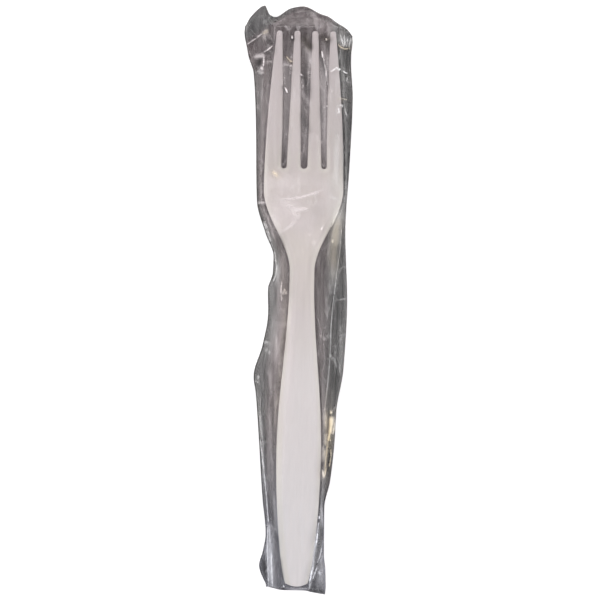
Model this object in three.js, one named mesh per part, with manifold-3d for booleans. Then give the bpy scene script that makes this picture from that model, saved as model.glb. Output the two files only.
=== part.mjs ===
import * as THREE from 'three';
import { mergeVertices } from 'three/addons/utils/BufferGeometryUtils.js';
import Module from 'manifold-3d';

// A moulded plastic fork lying face up in a sealed sleeve of clear film.
// Millimetres, +Y towards the tines, +X to the right, +Z up from the table.
// A station is the distance along the fork from the tine tips towards the handle's end.

// Fork, seen from above
const FORK_LENGTH = 177.8;
const TIP_SPREAD = 18.8;
const HEAD_WIDTH = 25.5;
const NECK_WIDTH = 7.9;
const GRIP_WIDTH = 14.3;
const END_WIDTH = 7.2;
const TINE_LENGTH = 43.6;
const PALM_LENGTH = 6.9;
const SHOULDER_LENGTH = 26;
const NECK_LENGTH = 3.5;
const GRIP_FROM_END = 43.8;
const END_ROUNDING = 8;
const END_ARC = 0.9;

// Tines
const OUTER_TINE_ROOT = 5.35;
const OUTER_TINE_TIP = 1.75;
const INNER_TINE_ROOT = 4.6;
const INNER_TINE_TIP = 1.95;
const TIP_BLUNTNESS = 0.15;
const EDGE_WIDTH = 1.2;
const EDGE_DROP = 0.35;

// Fork, seen from the side: how far the underside rises from the table, and the depth above it
const TIP_RISE = 7.5;
const TINE_RISE = 2.6;
const SHOULDER_RISE = 2.3;
const ARCH_RISE = 6.3;
const GRIP_RISE = 1.6;
const BOWL_BEHIND_ROOT = 2.4;
const ARCH_BEHIND_NECK = 8;
const GRIP_RISE_FROM_END = 27.8;
const TIP_THICKNESS = 1.2;
const HEAD_THICKNESS = 2.2;
const NECK_DEPTH = 4.2;
const GRIP_DEPTH = 3.8;
const END_DEPTH = 3;
const DISH_DEPTH = 1;

// Handle: bevelled top edges, and a channel moulded into its underside
const BEVEL_WIDTH = 2.2;
const BEVEL_DROP = 1.3;
const CHANNEL_RIM = 1.6;
const CHANNEL_DRAFT = 0.5;
const PANEL_WALL = 1.7;
const CHANNEL_BEHIND_NECK = 6;
const CHANNEL_RAMP = 7;
const CHANNEL_END_RAMP = 2.5;
const CHANNEL_END_WALL = 2.2;

// Film: wall and the room it leaves
const FILM_WALL = 0.15;
const PLY_GAP = 0.25;
const FORK_CLEARANCE = 0.3;
const SIDE_CLEARANCE = 1.2;
const EDGE_CLEARANCE = 0.5;
const TIP_CLEARANCE = 1;
const END_CLEARANCE = 0.3;

// Film: how it drapes
const BOWL_BRIDGE = 1.6;
const MARGIN_FALL = 1.6;
const EDGE_LIFT = 0.8;
const FIN_RISE = 3.5;
const FIN_START = 14;
const FIN_RIPPLE = 0.5;
const RIPPLE_LENGTH = 9;
const CLOSING_RUN = 4.5;
const CORNER_PEAK = -14;
const CORNER_LIFT = 0.4;
const PLEAT_HEIGHT = 0.7;
const PLEAT_INSET = 1.4;
const PLEAT_WIDTH = 1.2;
const PLEAT_FROM_END = 62;
const SEAL_WIDTH = 0.5;
const LAP_INSET = 0.6;
const TIP_ZONE = 14;
const END_ZONE = 10;

// Stations that follow from the lengths above
const SHOULDER = TINE_LENGTH + PALM_LENGTH;
const NECK = SHOULDER + SHOULDER_LENGTH;
const HANDLE = NECK + NECK_LENGTH;
const GRIP = FORK_LENGTH - GRIP_FROM_END;
const PLY_PITCH = FILM_WALL + PLY_GAP;
const FORK_REST = FILM_WALL + FORK_CLEARANCE;

// How far the sleeve's folded edges stand from the fork's middle line, as [station, reach]
const FILM_LEFT = [
  [0, 19.9],
  [3, 19.7],
  [8, 18.5],
  [13, 16.7],
  [28, 15.7],
  [SHOULDER + 3.5, 14.9],
  [SHOULDER + 14, 11.9],
  [NECK - 4.5, 9.2],
  [NECK + 0.5, 9.3],
  [HANDLE + 2.5, 10.8],
  [HANDLE + 10, 10.6],
  [HANDLE + 20.5, 12.2],
  [HANDLE + 30.5, 14.9],
  [HANDLE + 36, 14.1],
  [FORK_LENGTH - 27.8, 11.3],
  [FORK_LENGTH - 16.5, 10.1],
  [FORK_LENGTH - 11, 10.9],
  [FORK_LENGTH - 6.5, 12],
  [FORK_LENGTH - 0.6, 9.9],
];
const FILM_RIGHT = [
  [3, 14.8],
  [8, 14.4],
  [21, 15.2],
  [TINE_LENGTH, 14.5],
  [SHOULDER + 11.5, 13.6],
  [HANDLE + 7.5, 14.6],
  [HANDLE + 28, 13.8],
  [HANDLE + 41, 11.8],
  [HANDLE + 51, 11.4],
  [FORK_LENGTH - 34, 10.2],
  [FORK_LENGTH - 25.5, 8.5],
  [FORK_LENGTH - 11, 8.6],
  [FORK_LENGTH - 5, 9.2],
  [FORK_LENGTH, 9.4],
];

// How far the inner ply of the back seam reaches in from the right fold, as [station, reach]
const SEAM_REACH = [
  [0, 2],
  [SHOULDER + 8.5, 1.1],
  [HANDLE + 6, 4.2],
  [HANDLE + 45, 3],
  [FORK_LENGTH - 20.8, 1.2],
  [FORK_LENGTH, 5.2],
];

// The sleeve's sealed ends, as [distance from the middle line, overhang beyond the fork]
const TIP_END_EDGE = [
  [-19.9, 0.2],
  [-19.5, 1.9],
  [-18.1, 4.5],
  [CORNER_PEAK, 8.5],
  [CORNER_PEAK + 0.7, 7.1],
  [CORNER_PEAK + 2, 5.4],
  [-10.1, 4.7],
  [-5, 7.6],
  [-1.2, 8.2],
  [4.6, 5.4],
  [6.6, 5],
  [9.8, 2.7],
  [13.1, 0.6],
  [14.7, -1.5],
];
const HANDLE_END_EDGE = [
  [-9.9, 0.3],
  [-8.6, 0.6],
  [-4.1, 1.5],
  [2.3, 1.5],
  [5.2, 2],
  [9.4, 2.6],
];

// The line along which the tip end's left corner bends up, as [distance, station]
const CORNER_BEND = [[-18.9, 3.5], [-9.1, -2.9]];

// Main creases raised in the front ply: ends as [distance, station], height and half width
const CREASES = [
  { from: [-4.2, SHOULDER + 3], to: [5.3, SHOULDER + 0.5], height: 0.7, width: 3 },
  { from: [-6.6, SHOULDER + 13.9], to: [-2.5, SHOULDER + 10.7], height: 0.7, width: 3 },
  { from: [-12.5, HANDLE + 31], to: [-7.2, HANDLE + 12], height: 1, width: 3 },
  { from: [9, HANDLE + 42], to: [11, HANDLE + 62], height: 0.9, width: 2.5 },
  { from: [8, 12.5], to: [13.6, 19], height: 0.7, width: 3 },
  { from: [-12.1, 5.1], to: [-13.6, 14], height: 0.8, width: 2.5 },
  { from: [-10, HANDLE + 21], to: [-5.3, HANDLE + 4], height: 0.8, width: 3 },
];

// Steps across one tine: an edge, the flat between and the other edge
const TINE_STEPS = 3;

const { clamp, lerp, smoothstep } = THREE.MathUtils;

// A smooth curve through [place, value] points that never overshoots them
function smoothCurve(points) {
  const secants = points.slice(1).map(([place, value], i) => {
    const [lastPlace, lastValue] = points[i];
    return (value - lastValue) / (place - lastPlace);
  });
  const slopes = points.map((_, i) => {
    const before = secants[Math.max(i - 1, 0)];
    const after = secants[Math.min(i, secants.length - 1)];
    return before * after > 0 ? (2 * before * after) / (before + after) : 0;
  });
  return (place) => {
    const at = clamp(place, points[0][0], points.at(-1)[0]);
    const next = points.findIndex(([end]) => at < end);
    const k = next < 1 ? points.length - 2 : next - 1;
    const [p0, v0] = points[k];
    const [p1, v1] = points[k + 1];
    const t = (at - p0) / (p1 - p0);
    const pull = (p1 - p0) * t * (1 - t);
    const ease = t * t * (3 - 2 * t);
    return lerp(v0, v1, ease) + pull * (slopes[k] * (1 - t) - slopes[k + 1] * t);
  };
}

// Evenly spaced values from one end to the other, both included
function spread(from, to, steps) {
  return Array.from({ length: steps + 1 }, (_, i) => lerp(from, to, i / steps));
}

// A closed triangle mesh from a list of four-cornered faces
function closedMesh(quads) {
  const corners = quads.flatMap(([a, b, c, d]) => [a, b, c, a, c, d]);
  const soup = new THREE.BufferGeometry().setFromPoints(corners);
  const geometry = mergeVertices(soup, 1e-4);
  geometry.computeVertexNormals();
  return geometry;
}

// Faces of a grid of points; rows run along the part and columns across it
function gridFaces(grid, turned) {
  const faces = [];
  for (let i = 0; i + 1 < grid.length; i += 1) {
    for (let j = 0; j + 1 < grid[i].length; j += 1) {
      const face = [grid[i][j], grid[i + 1][j], grid[i + 1][j + 1], grid[i][j + 1]];
      faces.push(turned ? face.reverse() : face);
    }
  }
  return faces;
}

const column = (grid, j) => grid.map((row) => row.at(j));

// The fork's outline: half its width at a station
function halfWidth(station) {
  const s = clamp(station, 0, FORK_LENGTH);
  if (s < SHOULDER) {
    return lerp(TIP_SPREAD, HEAD_WIDTH, Math.sin((s / SHOULDER) * (Math.PI / 2))) / 2;
  }
  if (s < HANDLE) {
    return lerp(HEAD_WIDTH, NECK_WIDTH, smoothstep(s, SHOULDER, NECK)) / 2;
  }
  if (s < GRIP) {
    return lerp(NECK_WIDTH, GRIP_WIDTH, smoothstep(s, HANDLE, GRIP)) / 2;
  }
  const t = Math.min(1, (s - GRIP) / GRIP_FROM_END);
  return lerp(END_WIDTH, GRIP_WIDTH, (1 - t * t) ** 0.8) / 2;
}

const underside = smoothCurve([
  [0, TIP_RISE],
  [TINE_LENGTH / 2, TINE_RISE],
  [TINE_LENGTH + BOWL_BEHIND_ROOT, 0],
  [(SHOULDER + NECK) / 2, SHOULDER_RISE],
  [HANDLE + ARCH_BEHIND_NECK, ARCH_RISE],
  [FORK_LENGTH - GRIP_RISE_FROM_END, GRIP_RISE],
  [FORK_LENGTH, 0],
]);

const depth = smoothCurve([
  [0, TIP_THICKNESS],
  [TINE_LENGTH, HEAD_THICKNESS],
  [SHOULDER, HEAD_THICKNESS],
  [HANDLE, NECK_DEPTH],
  [GRIP, GRIP_DEPTH],
  [FORK_LENGTH, END_DEPTH],
]);

const dish = smoothCurve([
  [0, 0],
  [TINE_LENGTH, DISH_DEPTH],
  [SHOULDER, DISH_DEPTH],
  [NECK, 0],
]);

const bowed = (station, x) => dish(station) * (x / halfWidth(station)) ** 2;

// Height of the fork's face before its edges are rounded
function forkFace(station, x) {
  const s = clamp(station, 0, FORK_LENGTH);
  return FORK_REST + underside(s) + depth(s) + bowed(s, clamp(x, -halfWidth(s), halfWidth(s)));
}

// How far a part of the section has turned from the head's form to the handle's
const handleShare = (station) => smoothstep(station, SHOULDER, NECK);

// Left and right edges of the four tines, with round tips; the inner ones widen evenly to their
// roots, and the outer ones swell as the head does
function tineEdges(station) {
  const t = station / TINE_LENGTH;
  const outer = lerp(OUTER_TINE_TIP, OUTER_TINE_ROOT, Math.sin(t * (Math.PI / 2)));
  const inner = lerp(INNER_TINE_TIP, INNER_TINE_ROOT, t);
  const pitch = (2 * halfWidth(station) - outer) / 3;
  const tipWidths = [OUTER_TINE_TIP, INNER_TINE_TIP, INNER_TINE_TIP, OUTER_TINE_TIP];
  return [outer, inner, inner, outer].map((width, k) => {
    const centre = (k - 1.5) * pitch;
    const radius = tipWidths[k] / 2;
    const back = Math.max(0, 1 - TIP_BLUNTNESS - station / radius);
    const half = (width / 2) * Math.sqrt(1 - back * back);
    return [centre - half, centre + half];
  });
}

const rootEdges = tineEdges(TINE_LENGTH);
const slotRadii = rootEdges.slice(1).map(([left], k) => (left - rootEdges[k][1]) / 2);

// The tines' edges with the slots between them closed by half circles
function roundedTineEdges(station) {
  const edges = tineEdges(station);
  slotRadii.forEach((radius, k) => {
    const middle = (edges[k][1] + edges[k + 1][0]) / 2;
    const into = clamp((station - TINE_LENGTH) / radius + 1, 0, 1);
    const half = ((edges[k + 1][0] - edges[k][1]) / 2) * Math.sqrt(1 - into * into);
    edges[k][1] = middle - half;
    edges[k + 1][0] = middle + half;
  });
  return edges;
}

// Four columns across one tine: its two edges and the two lines where its face flattens
function tineColumns([left, right]) {
  const edge = Math.min(EDGE_WIDTH, (right - left) / 3);
  return [left, left + edge, right - edge, right];
}

// Columns across the whole head at the tines' roots, as shares of the half width
const headColumns = roundedTineEdges(TINE_LENGTH)
  .flatMap((edges, k) => tineColumns(edges).slice(k === 0 ? 0 : 1))
  .map((x) => x / halfWidth(TINE_LENGTH));

// Columns across the handle: edges, the lines set in from them, and even steps between
function handleColumns(half, insets) {
  const inner = half - insets.at(-1);
  const steps = headColumns.length - 1 - 2 * insets.length;
  const right = insets.slice(0, -1).map((inset) => half - inset);
  const left = right.map((x) => -x);
  return [-half, ...left, ...spread(-inner, inner, steps), ...right.reverse(), half];
}

function bodyColumns(station, insets) {
  const half = halfWidth(station);
  const room = (0.8 * half) / insets.at(-1);
  const fitted = insets.map((inset) => inset * Math.min(1, room));
  const handle = handleColumns(half, fitted);
  return headColumns.map((share, j) => lerp(share * half, handle[j], handleShare(station)));
}

// A point of the fork; the handle's end is drawn as a shallow arc
function forkPoint(station, x, z) {
  const arc = END_ARC * smoothstep(station, FORK_LENGTH - END_ROUNDING, FORK_LENGTH);
  const across = x / halfWidth(station);
  return new THREE.Vector3(x, arc * across * across - station, z);
}

// One row of the fork's face; every so many columns is a rounded edge, a little lower
function topRow(station, columns, edgeDrop, edgeEvery) {
  return columns.map((x, j) => {
    const drop = j % edgeEvery === 0 ? edgeDrop : 0;
    return forkPoint(station, x, forkFace(station, x) - drop);
  });
}

// The channel's depth at a station, run out before the neck and before the end wall
function channelDepth(station) {
  const start = HANDLE + CHANNEL_BEHIND_NECK;
  const end = FORK_LENGTH - CHANNEL_END_WALL;
  const rises = smoothstep(station, start, start + CHANNEL_RAMP);
  const falls = smoothstep(station, end - CHANNEL_END_RAMP, end);
  return Math.max(0, depth(station) - PANEL_WALL) * rises * (1 - falls);
}

// One row of the underside; the columns inside the rims lie on the channel's floor
function bottomRow(station, columns, rimColumns) {
  const last = columns.length - 1;
  return columns.map((x, j) => {
    const inChannel = Math.min(j, last - j) >= rimColumns;
    const rest = FORK_REST + underside(station) + bowed(station, x);
    return forkPoint(station, x, rest + (inChannel ? channelDepth(station) : 0));
  });
}

// Faces of a slab between a top grid and a bottom grid, closed along its two sides
function slabFaces(top, bottom) {
  return [
    ...gridFaces(top, false),
    ...gridFaces(bottom, true),
    ...gridFaces([column(bottom, 0), column(top, 0)], true),
    ...gridFaces([column(bottom, -1), column(top, -1)], false),
  ];
}

function tineFaces(k, stations) {
  const columns = stations.map((station) => tineColumns(roundedTineEdges(station)[k]));
  const top = stations.map((station, i) => topRow(station, columns[i], EDGE_DROP, TINE_STEPS));
  const bottom = stations.map((station, i) => bottomRow(station, columns[i], TINE_STEPS));
  return [...slabFaces(top, bottom), ...gridFaces([top[0], bottom[0]], true)];
}

function bodyFaces(stations) {
  const rims = [CHANNEL_RIM, CHANNEL_RIM + CHANNEL_DRAFT];
  const top = stations.map((station, i) => {
    const columns = bodyColumns(station, [BEVEL_WIDTH]);
    const drop = lerp(EDGE_DROP, BEVEL_DROP, handleShare(station));
    return topRow(station, columns, drop, i === 0 ? TINE_STEPS : columns.length - 1);
  });
  const bottom = stations.map((station) => bottomRow(station, bodyColumns(station, rims), rims.length));
  return [...slabFaces(top, bottom), ...gridFaces([bottom.at(-1), top.at(-1)], true)];
}

function forkGeometry() {
  const tipRadius = OUTER_TINE_TIP / 2;
  const rootRadius = Math.max(...slotRadii);
  const tineStations = [
    0,
    tipRadius / 3,
    ...spread(tipRadius, TINE_LENGTH - rootRadius, 8),
    ...[0.5, 0.15, 0].map((share) => TINE_LENGTH - share * rootRadius),
  ];
  const bodyStations = [
    TINE_LENGTH,
    ...spread(TINE_LENGTH + EDGE_WIDTH / 2, SHOULDER, 2),
    ...spread(SHOULDER, NECK, 10).slice(1),
    ...spread(NECK, GRIP, 15).slice(1),
    ...spread(1, 0, 12).slice(1).map((t) => FORK_LENGTH - GRIP_FROM_END * t * t),
  ];
  const tines = [0, 1, 2, 3].flatMap((k) => tineFaces(k, tineStations));
  return closedMesh([...tines, ...bodyFaces(bodyStations)]);
}

// The sleeve's outline; it never draws in closer than a side clearance to the fork
const leftReach = smoothCurve(FILM_LEFT);
const rightReach = smoothCurve(FILM_RIGHT);
const seamReach = smoothCurve(SEAM_REACH);
const filmLeft = (station) => Math.max(leftReach(station), halfWidth(station) + SIDE_CLEARANCE);
const filmRight = (station) => Math.max(rightReach(station), halfWidth(station) + SIDE_CLEARANCE);

const tipOverhang = smoothCurve(TIP_END_EDGE);
const handleOverhang = smoothCurve(HANDLE_END_EDGE);
const tipEdge = (x) => -tipOverhang(x);
const handleEdge = (x) => FORK_LENGTH + handleOverhang(x);

// Where a point lies across the margin: 0 at the fork's edge and 1 at the fold
function marginShare(station, x) {
  const fold = x < 0 ? filmLeft(station) : filmRight(station);
  const start = halfWidth(station) + EDGE_CLEARANCE;
  return clamp((Math.abs(x) - start) / (fold - start), 0, 1);
}

// How far a point lies beyond the corner's bend line, towards the corner
function beyondBend(station, x) {
  const [[x0, s0], [x1, s1]] = CORNER_BEND;
  const length = Math.hypot(x1 - x0, s1 - s0);
  const across = ((x - x0) * (s1 - s0) - (station - s0) * (x1 - x0)) / length;
  return Math.max(0, across);
}

// Middle of the back ply's wall: flat under the fork, up to the fin at the tines' end
function backHeight(station, x) {
  const fin = smoothstep(-station, -FIN_START, TIP_CLEARANCE);
  const lift = EDGE_LIFT * marginShare(station, x) ** 2;
  const ripple = FIN_RIPPLE * (1 + Math.sin((2 * Math.PI * x) / RIPPLE_LENGTH)) * fin * fin;
  const corner = CORNER_LIFT * beyondBend(station, x);
  return FILM_WALL / 2 + FIN_RISE * fin + lift + ripple + corner;
}

// How far the sleeve stands open: 0 at its sealed ends and 1 along the fork
function openShare(station, x) {
  const tip = tipEdge(x);
  const tipOpen = Math.max(-TIP_CLEARANCE, tip + 2 * SEAL_WIDTH);
  const tipShut = Math.max(tip + SEAL_WIDTH, tipOpen - CLOSING_RUN);
  const end = handleEdge(x);
  const endOpen = Math.min(FORK_LENGTH + END_CLEARANCE, end - 2 * SEAL_WIDTH);
  const endShut = Math.min(end - SEAL_WIDTH, endOpen + CLOSING_RUN);
  return smoothstep(station, tipShut, tipOpen) * (1 - smoothstep(station, endOpen, endShut));
}

function creaseHeight(station, x) {
  const point = new THREE.Vector3(x, station, 0);
  const nearest = new THREE.Vector3();
  return CREASES.reduce((sum, { from, to, height, width }) => {
    const line = new THREE.Line3(new THREE.Vector3(...from, 0), new THREE.Vector3(...to, 0));
    const away = line.closestPointToPoint(point, true, nearest).distanceTo(point);
    return sum + height * Math.max(0, 1 - away / width);
  }, 0);
}

const pleatLine = (station) => {
  const margin = filmLeft(station) - halfWidth(station) - EDGE_CLEARANCE;
  return Math.min(PLEAT_INSET, margin / 2) - filmLeft(station);
};

// A line of points down the left margin: the tip end's corner peak, then the pleat
const crestLine = (station) => lerp(CORNER_PEAK, pleatLine(station), smoothstep(station, 0, TIP_ZONE));

function pleatHeight(station, x) {
  const start = FORK_LENGTH - PLEAT_FROM_END;
  const along = smoothstep(station, start, start + END_ZONE);
  const away = Math.abs(x - pleatLine(station));
  return PLEAT_HEIGHT * along * Math.max(0, 1 - away / PLEAT_WIDTH);
}

// Middle of the front ply's wall: over the fork, down across the margins to the folds
function frontHeight(station, x) {
  const shut = backHeight(station, x) + 2 * PLY_PITCH;
  const bowl = smoothstep(station, 0, TINE_LENGTH) * (1 - smoothstep(station, TINE_LENGTH, NECK));
  const over = forkFace(station, x) + FORK_CLEARANCE + FILM_WALL / 2 + BOWL_BRIDGE * bowl;
  const fall = (1 - marginShare(station, x)) ** MARGIN_FALL;
  const draped = fall * Math.max(0, over - shut) + creaseHeight(station, x) + pleatHeight(station, x);
  return shut + openShare(station, x) * draped;
}

// Each row of the sleeve gives the station at a distance from the middle line
function filmRows() {
  const tipShares = [0, 0.03, 0.07, 0.13, 0.2, 0.27, 0.34, 0.46, 0.68];
  const endShares = [0.35, 0.6, 0.78, 0.88, 0.94, 1];
  const start = FORK_LENGTH - END_ZONE;
  return [
    ...tipShares.map((t) => (x) => lerp(tipEdge(x), TIP_ZONE, t)),
    ...spread(TIP_ZONE, start, 28).map((station) => () => station),
    ...endShares.map((t) => (x) => lerp(start, handleEdge(x), t)),
  ];
}

// The distances at which a row is worked out, from the right fold to the left one
function filmColumns(row) {
  const middle = row(0);
  const right = filmRight(row(filmRight(middle))) - PLY_PITCH / 2;
  const leftStation = row(-filmLeft(middle));
  const left = PLY_PITCH - filmLeft(leftStation);
  const beside = halfWidth(middle) + EDGE_CLEARANCE;
  const crest = crestLine(leftStation);
  return [
    ...spread(right, beside, 4),
    ...spread(beside, -beside, 8).slice(1),
    ...spread(-beside, crest, 3).slice(1),
    ...spread(crest, left, 2).slice(1),
  ];
}

// One turn of film in section: from the seam's inner edge round the right fold, over the fork,
// round the left fold and back under the fork to the seam's outer edge
function filmSection(row) {
  const at = (x, z) => new THREE.Vector3(x, -row(x), z);
  const back = (x) => backHeight(row(x), x);
  const columns = filmColumns(row);
  const [right] = columns;
  const left = columns.at(-1);
  const seamStation = row(right);
  const clear = halfWidth(seamStation) + EDGE_CLEARANCE;
  const seam = Math.max(right - seamReach(seamStation), Math.min(clear, right - LAP_INSET));
  const inner = spread(seam, right, 3).map((x) => at(x, back(x) + PLY_PITCH));
  const front = columns.map((x) => at(x, frontHeight(row(x), x)));
  const under = [...columns].reverse();
  under[under.length - 1] = right + PLY_PITCH / 2 - LAP_INSET;
  const behind = under.map((x) => at(x, back(x)));
  const fold = (x, radius, z, turns) => turns.map((turn) => {
    const angle = turn * Math.PI;
    const out = radius * Math.sin(angle) * Math.sign(x);
    return new THREE.Vector3(x + out, -row(x), z - radius * Math.cos(angle));
  });
  const rightFold = fold(right, PLY_PITCH / 2, back(right) + 1.5 * PLY_PITCH, [1 / 3, 2 / 3]);
  const leftFold = fold(left, PLY_PITCH, back(left) + PLY_PITCH, [2 / 3, 1 / 3]);
  return [...inner, ...rightFold, ...front, ...leftFold, ...behind];
}

// A sheet of even wall on both sides of a grid of points
function sheetGeometry(grid, wall) {
  const along = new THREE.Vector3();
  const across = new THREE.Vector3();
  const near = (list, i, step) => list[clamp(i + step, 0, list.length - 1)];
  const side = (offset) => grid.map((row, i) => row.map((point, j) => {
    along.subVectors(near(grid, i, 1)[j], near(grid, i, -1)[j]);
    across.subVectors(near(row, j, 1), near(row, j, -1));
    return point.clone().addScaledVector(across.cross(along).normalize(), offset);
  }));
  const outer = side(wall / 2);
  const inner = side(-wall / 2);
  return closedMesh([
    ...gridFaces(outer, true),
    ...gridFaces(inner, false),
    ...gridFaces([column(outer, 0), column(inner, 0)], true),
    ...gridFaces([column(outer, -1), column(inner, -1)], false),
    ...gridFaces([outer[0], inner[0]], false),
    ...gridFaces([outer.at(-1), inner.at(-1)], true),
  ]);
}

// The weld that holds the plies together along one end
function sealGeometry(rows) {
  const grid = rows.map((row) => filmColumns(row).map((x) => {
    const z = backHeight(row(x), x) + PLY_PITCH;
    return new THREE.Vector3(x, -row(x), z);
  }));
  return sheetGeometry(grid, 2 * PLY_PITCH);
}

const wasm = await Module();
wasm.setup();

function solid(geometry) {
  const vertProperties = new Float32Array(geometry.attributes.position.array);
  const triVerts = new Uint32Array(geometry.index.array);
  return new wasm.Manifold(new wasm.Mesh({ numProp: 3, vertProperties, triVerts }));
}

function filmGeometry() {
  const inset = SEAL_WIDTH / 6;
  const sleeve = sheetGeometry(filmRows().map(filmSection), FILM_WALL);
  const tipSeal = sealGeometry([
    (x) => tipEdge(x) + inset,
    (x) => tipEdge(x) + SEAL_WIDTH,
  ]);
  const endSeal = sealGeometry([
    (x) => handleEdge(x) - SEAL_WIDTH,
    (x) => handleEdge(x) - inset,
  ]);
  const mesh = solid(sleeve).add(solid(tipSeal)).add(solid(endSeal)).getMesh();
  const geometry = new THREE.BufferGeometry();
  geometry.setAttribute('position', new THREE.BufferAttribute(mesh.vertProperties, 3));
  geometry.setIndex(new THREE.BufferAttribute(mesh.triVerts, 1));
  geometry.computeVertexNormals();
  return geometry;
}

function namedMesh(name, geometry, material) {
  const mesh = new THREE.Mesh(geometry, material);
  mesh.name = name;
  return mesh;
}

const polypropylene = new THREE.MeshStandardMaterial({ color: '#d9d3d1', roughness: 0.45, metalness: 0 });
const clearFilm = new THREE.MeshStandardMaterial({
  color: '#8a8586',
  roughness: 0.15,
  metalness: 0,
  transparent: true,
  opacity: 0.45,
});

// The pack stands with the middle of its box over the origin, on the table
const pack = new THREE.Group();
pack.add(namedMesh('fork', forkGeometry(), polypropylene));
pack.add(namedMesh('film_wrapper', filmGeometry(), clearFilm));
const box = new THREE.Box3().setFromObject(pack);
const middle = box.getCenter(new THREE.Vector3());
pack.position.set(-middle.x, -middle.y, -box.min.z);

const wrappedFork = new THREE.Group();
wrappedFork.add(pack);

export default wrappedFork;
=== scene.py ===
import math

import bpy
import numpy as np
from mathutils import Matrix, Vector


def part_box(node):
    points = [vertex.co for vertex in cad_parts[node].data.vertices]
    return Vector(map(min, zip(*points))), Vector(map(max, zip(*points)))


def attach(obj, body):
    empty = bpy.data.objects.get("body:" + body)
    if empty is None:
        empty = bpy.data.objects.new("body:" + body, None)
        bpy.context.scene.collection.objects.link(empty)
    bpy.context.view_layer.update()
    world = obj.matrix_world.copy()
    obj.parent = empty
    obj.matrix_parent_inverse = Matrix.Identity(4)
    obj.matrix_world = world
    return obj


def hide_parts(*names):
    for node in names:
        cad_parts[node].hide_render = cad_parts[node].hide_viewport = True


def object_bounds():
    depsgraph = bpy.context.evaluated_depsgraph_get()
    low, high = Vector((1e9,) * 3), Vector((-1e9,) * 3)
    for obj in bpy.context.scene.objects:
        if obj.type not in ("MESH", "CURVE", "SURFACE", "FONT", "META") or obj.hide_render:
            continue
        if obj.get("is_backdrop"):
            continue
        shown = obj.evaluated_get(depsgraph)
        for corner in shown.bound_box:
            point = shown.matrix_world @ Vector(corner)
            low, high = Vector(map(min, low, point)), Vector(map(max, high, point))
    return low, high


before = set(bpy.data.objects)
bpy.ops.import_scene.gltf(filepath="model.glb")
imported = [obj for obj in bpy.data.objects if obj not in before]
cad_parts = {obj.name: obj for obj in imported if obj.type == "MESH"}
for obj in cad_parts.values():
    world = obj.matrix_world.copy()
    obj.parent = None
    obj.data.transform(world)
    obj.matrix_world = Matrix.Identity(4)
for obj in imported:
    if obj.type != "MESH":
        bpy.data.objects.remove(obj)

# A moulded plastic fork lying face up in a sealed sleeve of clear film, seen from straight above.
# Shapes are worked out in millimetres from two measures on the fork: x, the distance to the right of
# its middle line, and s, the station, which runs from the tine tips towards the handle's end.

CAD_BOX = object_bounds()
MM = 0.001

# Fork, seen from above
FORK_LENGTH = 177.8
TIP_SPREAD = 18.8
HEAD_WIDTH = 25.5
NECK_WIDTH = 7.9
GRIP_WIDTH = 14.3
END_WIDTH = 7.2
TINE_LENGTH = 43.6
PALM_LENGTH = 6.9
SHOULDER_LENGTH = 26
NECK_LENGTH = 3.5
GRIP_FROM_END = 43.8
GRIP_FULLNESS = 0.8
END_ROUNDING = 8
END_ARC = 0.9
OUTER_TINE_ROOT = 5.35
OUTER_TINE_TIP = 1.75
INNER_TINE_ROOT = 4.6
INNER_TINE_TIP = 1.95
TIP_BLUNTNESS = 0.15
SLOPE_STEP = 0.2

# Fork, seen from the side
TIP_RISE = 7.5
TINE_RISE = 2.6
SHOULDER_RISE = 2.3
ARCH_RISE = 6.3
GRIP_RISE = 1.6
BOWL_BEHIND_ROOT = 2.4
ARCH_BEHIND_NECK = 8
GRIP_RISE_FROM_END = 27.8
TIP_THICKNESS = 1.2
HEAD_THICKNESS = 2.2
NECK_DEPTH = 4.2
GRIP_DEPTH = 3.8
END_DEPTH = 3
DISH_DEPTH = 1

# Fork, in section: rims, bevels, rounded edges and the channel under the handle
EDGE_WIDTH = 1.4
EDGE_DROP = 0.3
BEVEL_WIDTH = 2.3
BEVEL_DROP = 1.3
BEVEL_SOFTNESS = 0.35
TIP_ROUND = 0.3
EDGE_ROUND = 0.45
UNDER_ROUND = 0.28
CHANNEL_RIM = 1.6
CHANNEL_DRAFT = 0.5
PANEL_WALL = 1.7
CHANNEL_BEHIND_NECK = 6
CHANNEL_RAMP = 7
CHANNEL_END_RAMP = 2.5
CHANNEL_END_WALL = 2.2

# Fork's finish: the stippled panel, and how strong the painted highlight in pale cream is along the rims
# and on the left bevel
STIPPLE_START = 118
STIPPLE_FADE = 8
PANEL_EDGE = (2, 2.8)
RIM_HIGHLIGHT = 0.495
RIM_CORE = 0.6
RIM_FADE = 12
LEFT_BEVEL_HIGHLIGHT = 0.9
LEFT_BEVEL_HIGHLIGHT_SIDE = 2
LEFT_BEVEL_HIGHLIGHT_RUN = 20

# Film: wall, plies and the room it leaves
FILM_WALL = 0.15
PLY_GAP = 0.25
SEALED_PITCH = 0.18
SEAL_RUN = 2.5
WELD_REACH = 0.2
FORK_CLEARANCE = 0.3
SIDE_CLEARANCE = 1.2
EDGE_CLEARANCE = 0.5
TIP_CLEARANCE = 1
END_CLEARANCE = 0.3
SEAL_WIDTH = 0.5
LAP_INSET = 0.6

# Film: how it drapes
BOWL_BRIDGE = 1.6
MARGIN_FALL = 1.6
EDGE_LIFT = 0.8
FIN_RISE = 3.5
FIN_START = 14
FIN_RIPPLE = 0.5
RIPPLE_LENGTH = 9
CLOSING_RUN = 4.5
CORNER_LIFT = 0.4
SLOT_SAG = 0.5
SAG_START = 1
SAG_RUN = 8
TIGHT_SLACK = 0.12
TIP_ZONE = 14
END_ZONE = 10

# Stations that follow from the lengths above
SHOULDER = TINE_LENGTH + PALM_LENGTH
NECK = SHOULDER + SHOULDER_LENGTH
HANDLE = NECK + NECK_LENGTH
GRIP = FORK_LENGTH - GRIP_FROM_END
PLY_PITCH = FILM_WALL + PLY_GAP
FORK_REST = FILM_WALL + FORK_CLEARANCE

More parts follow.
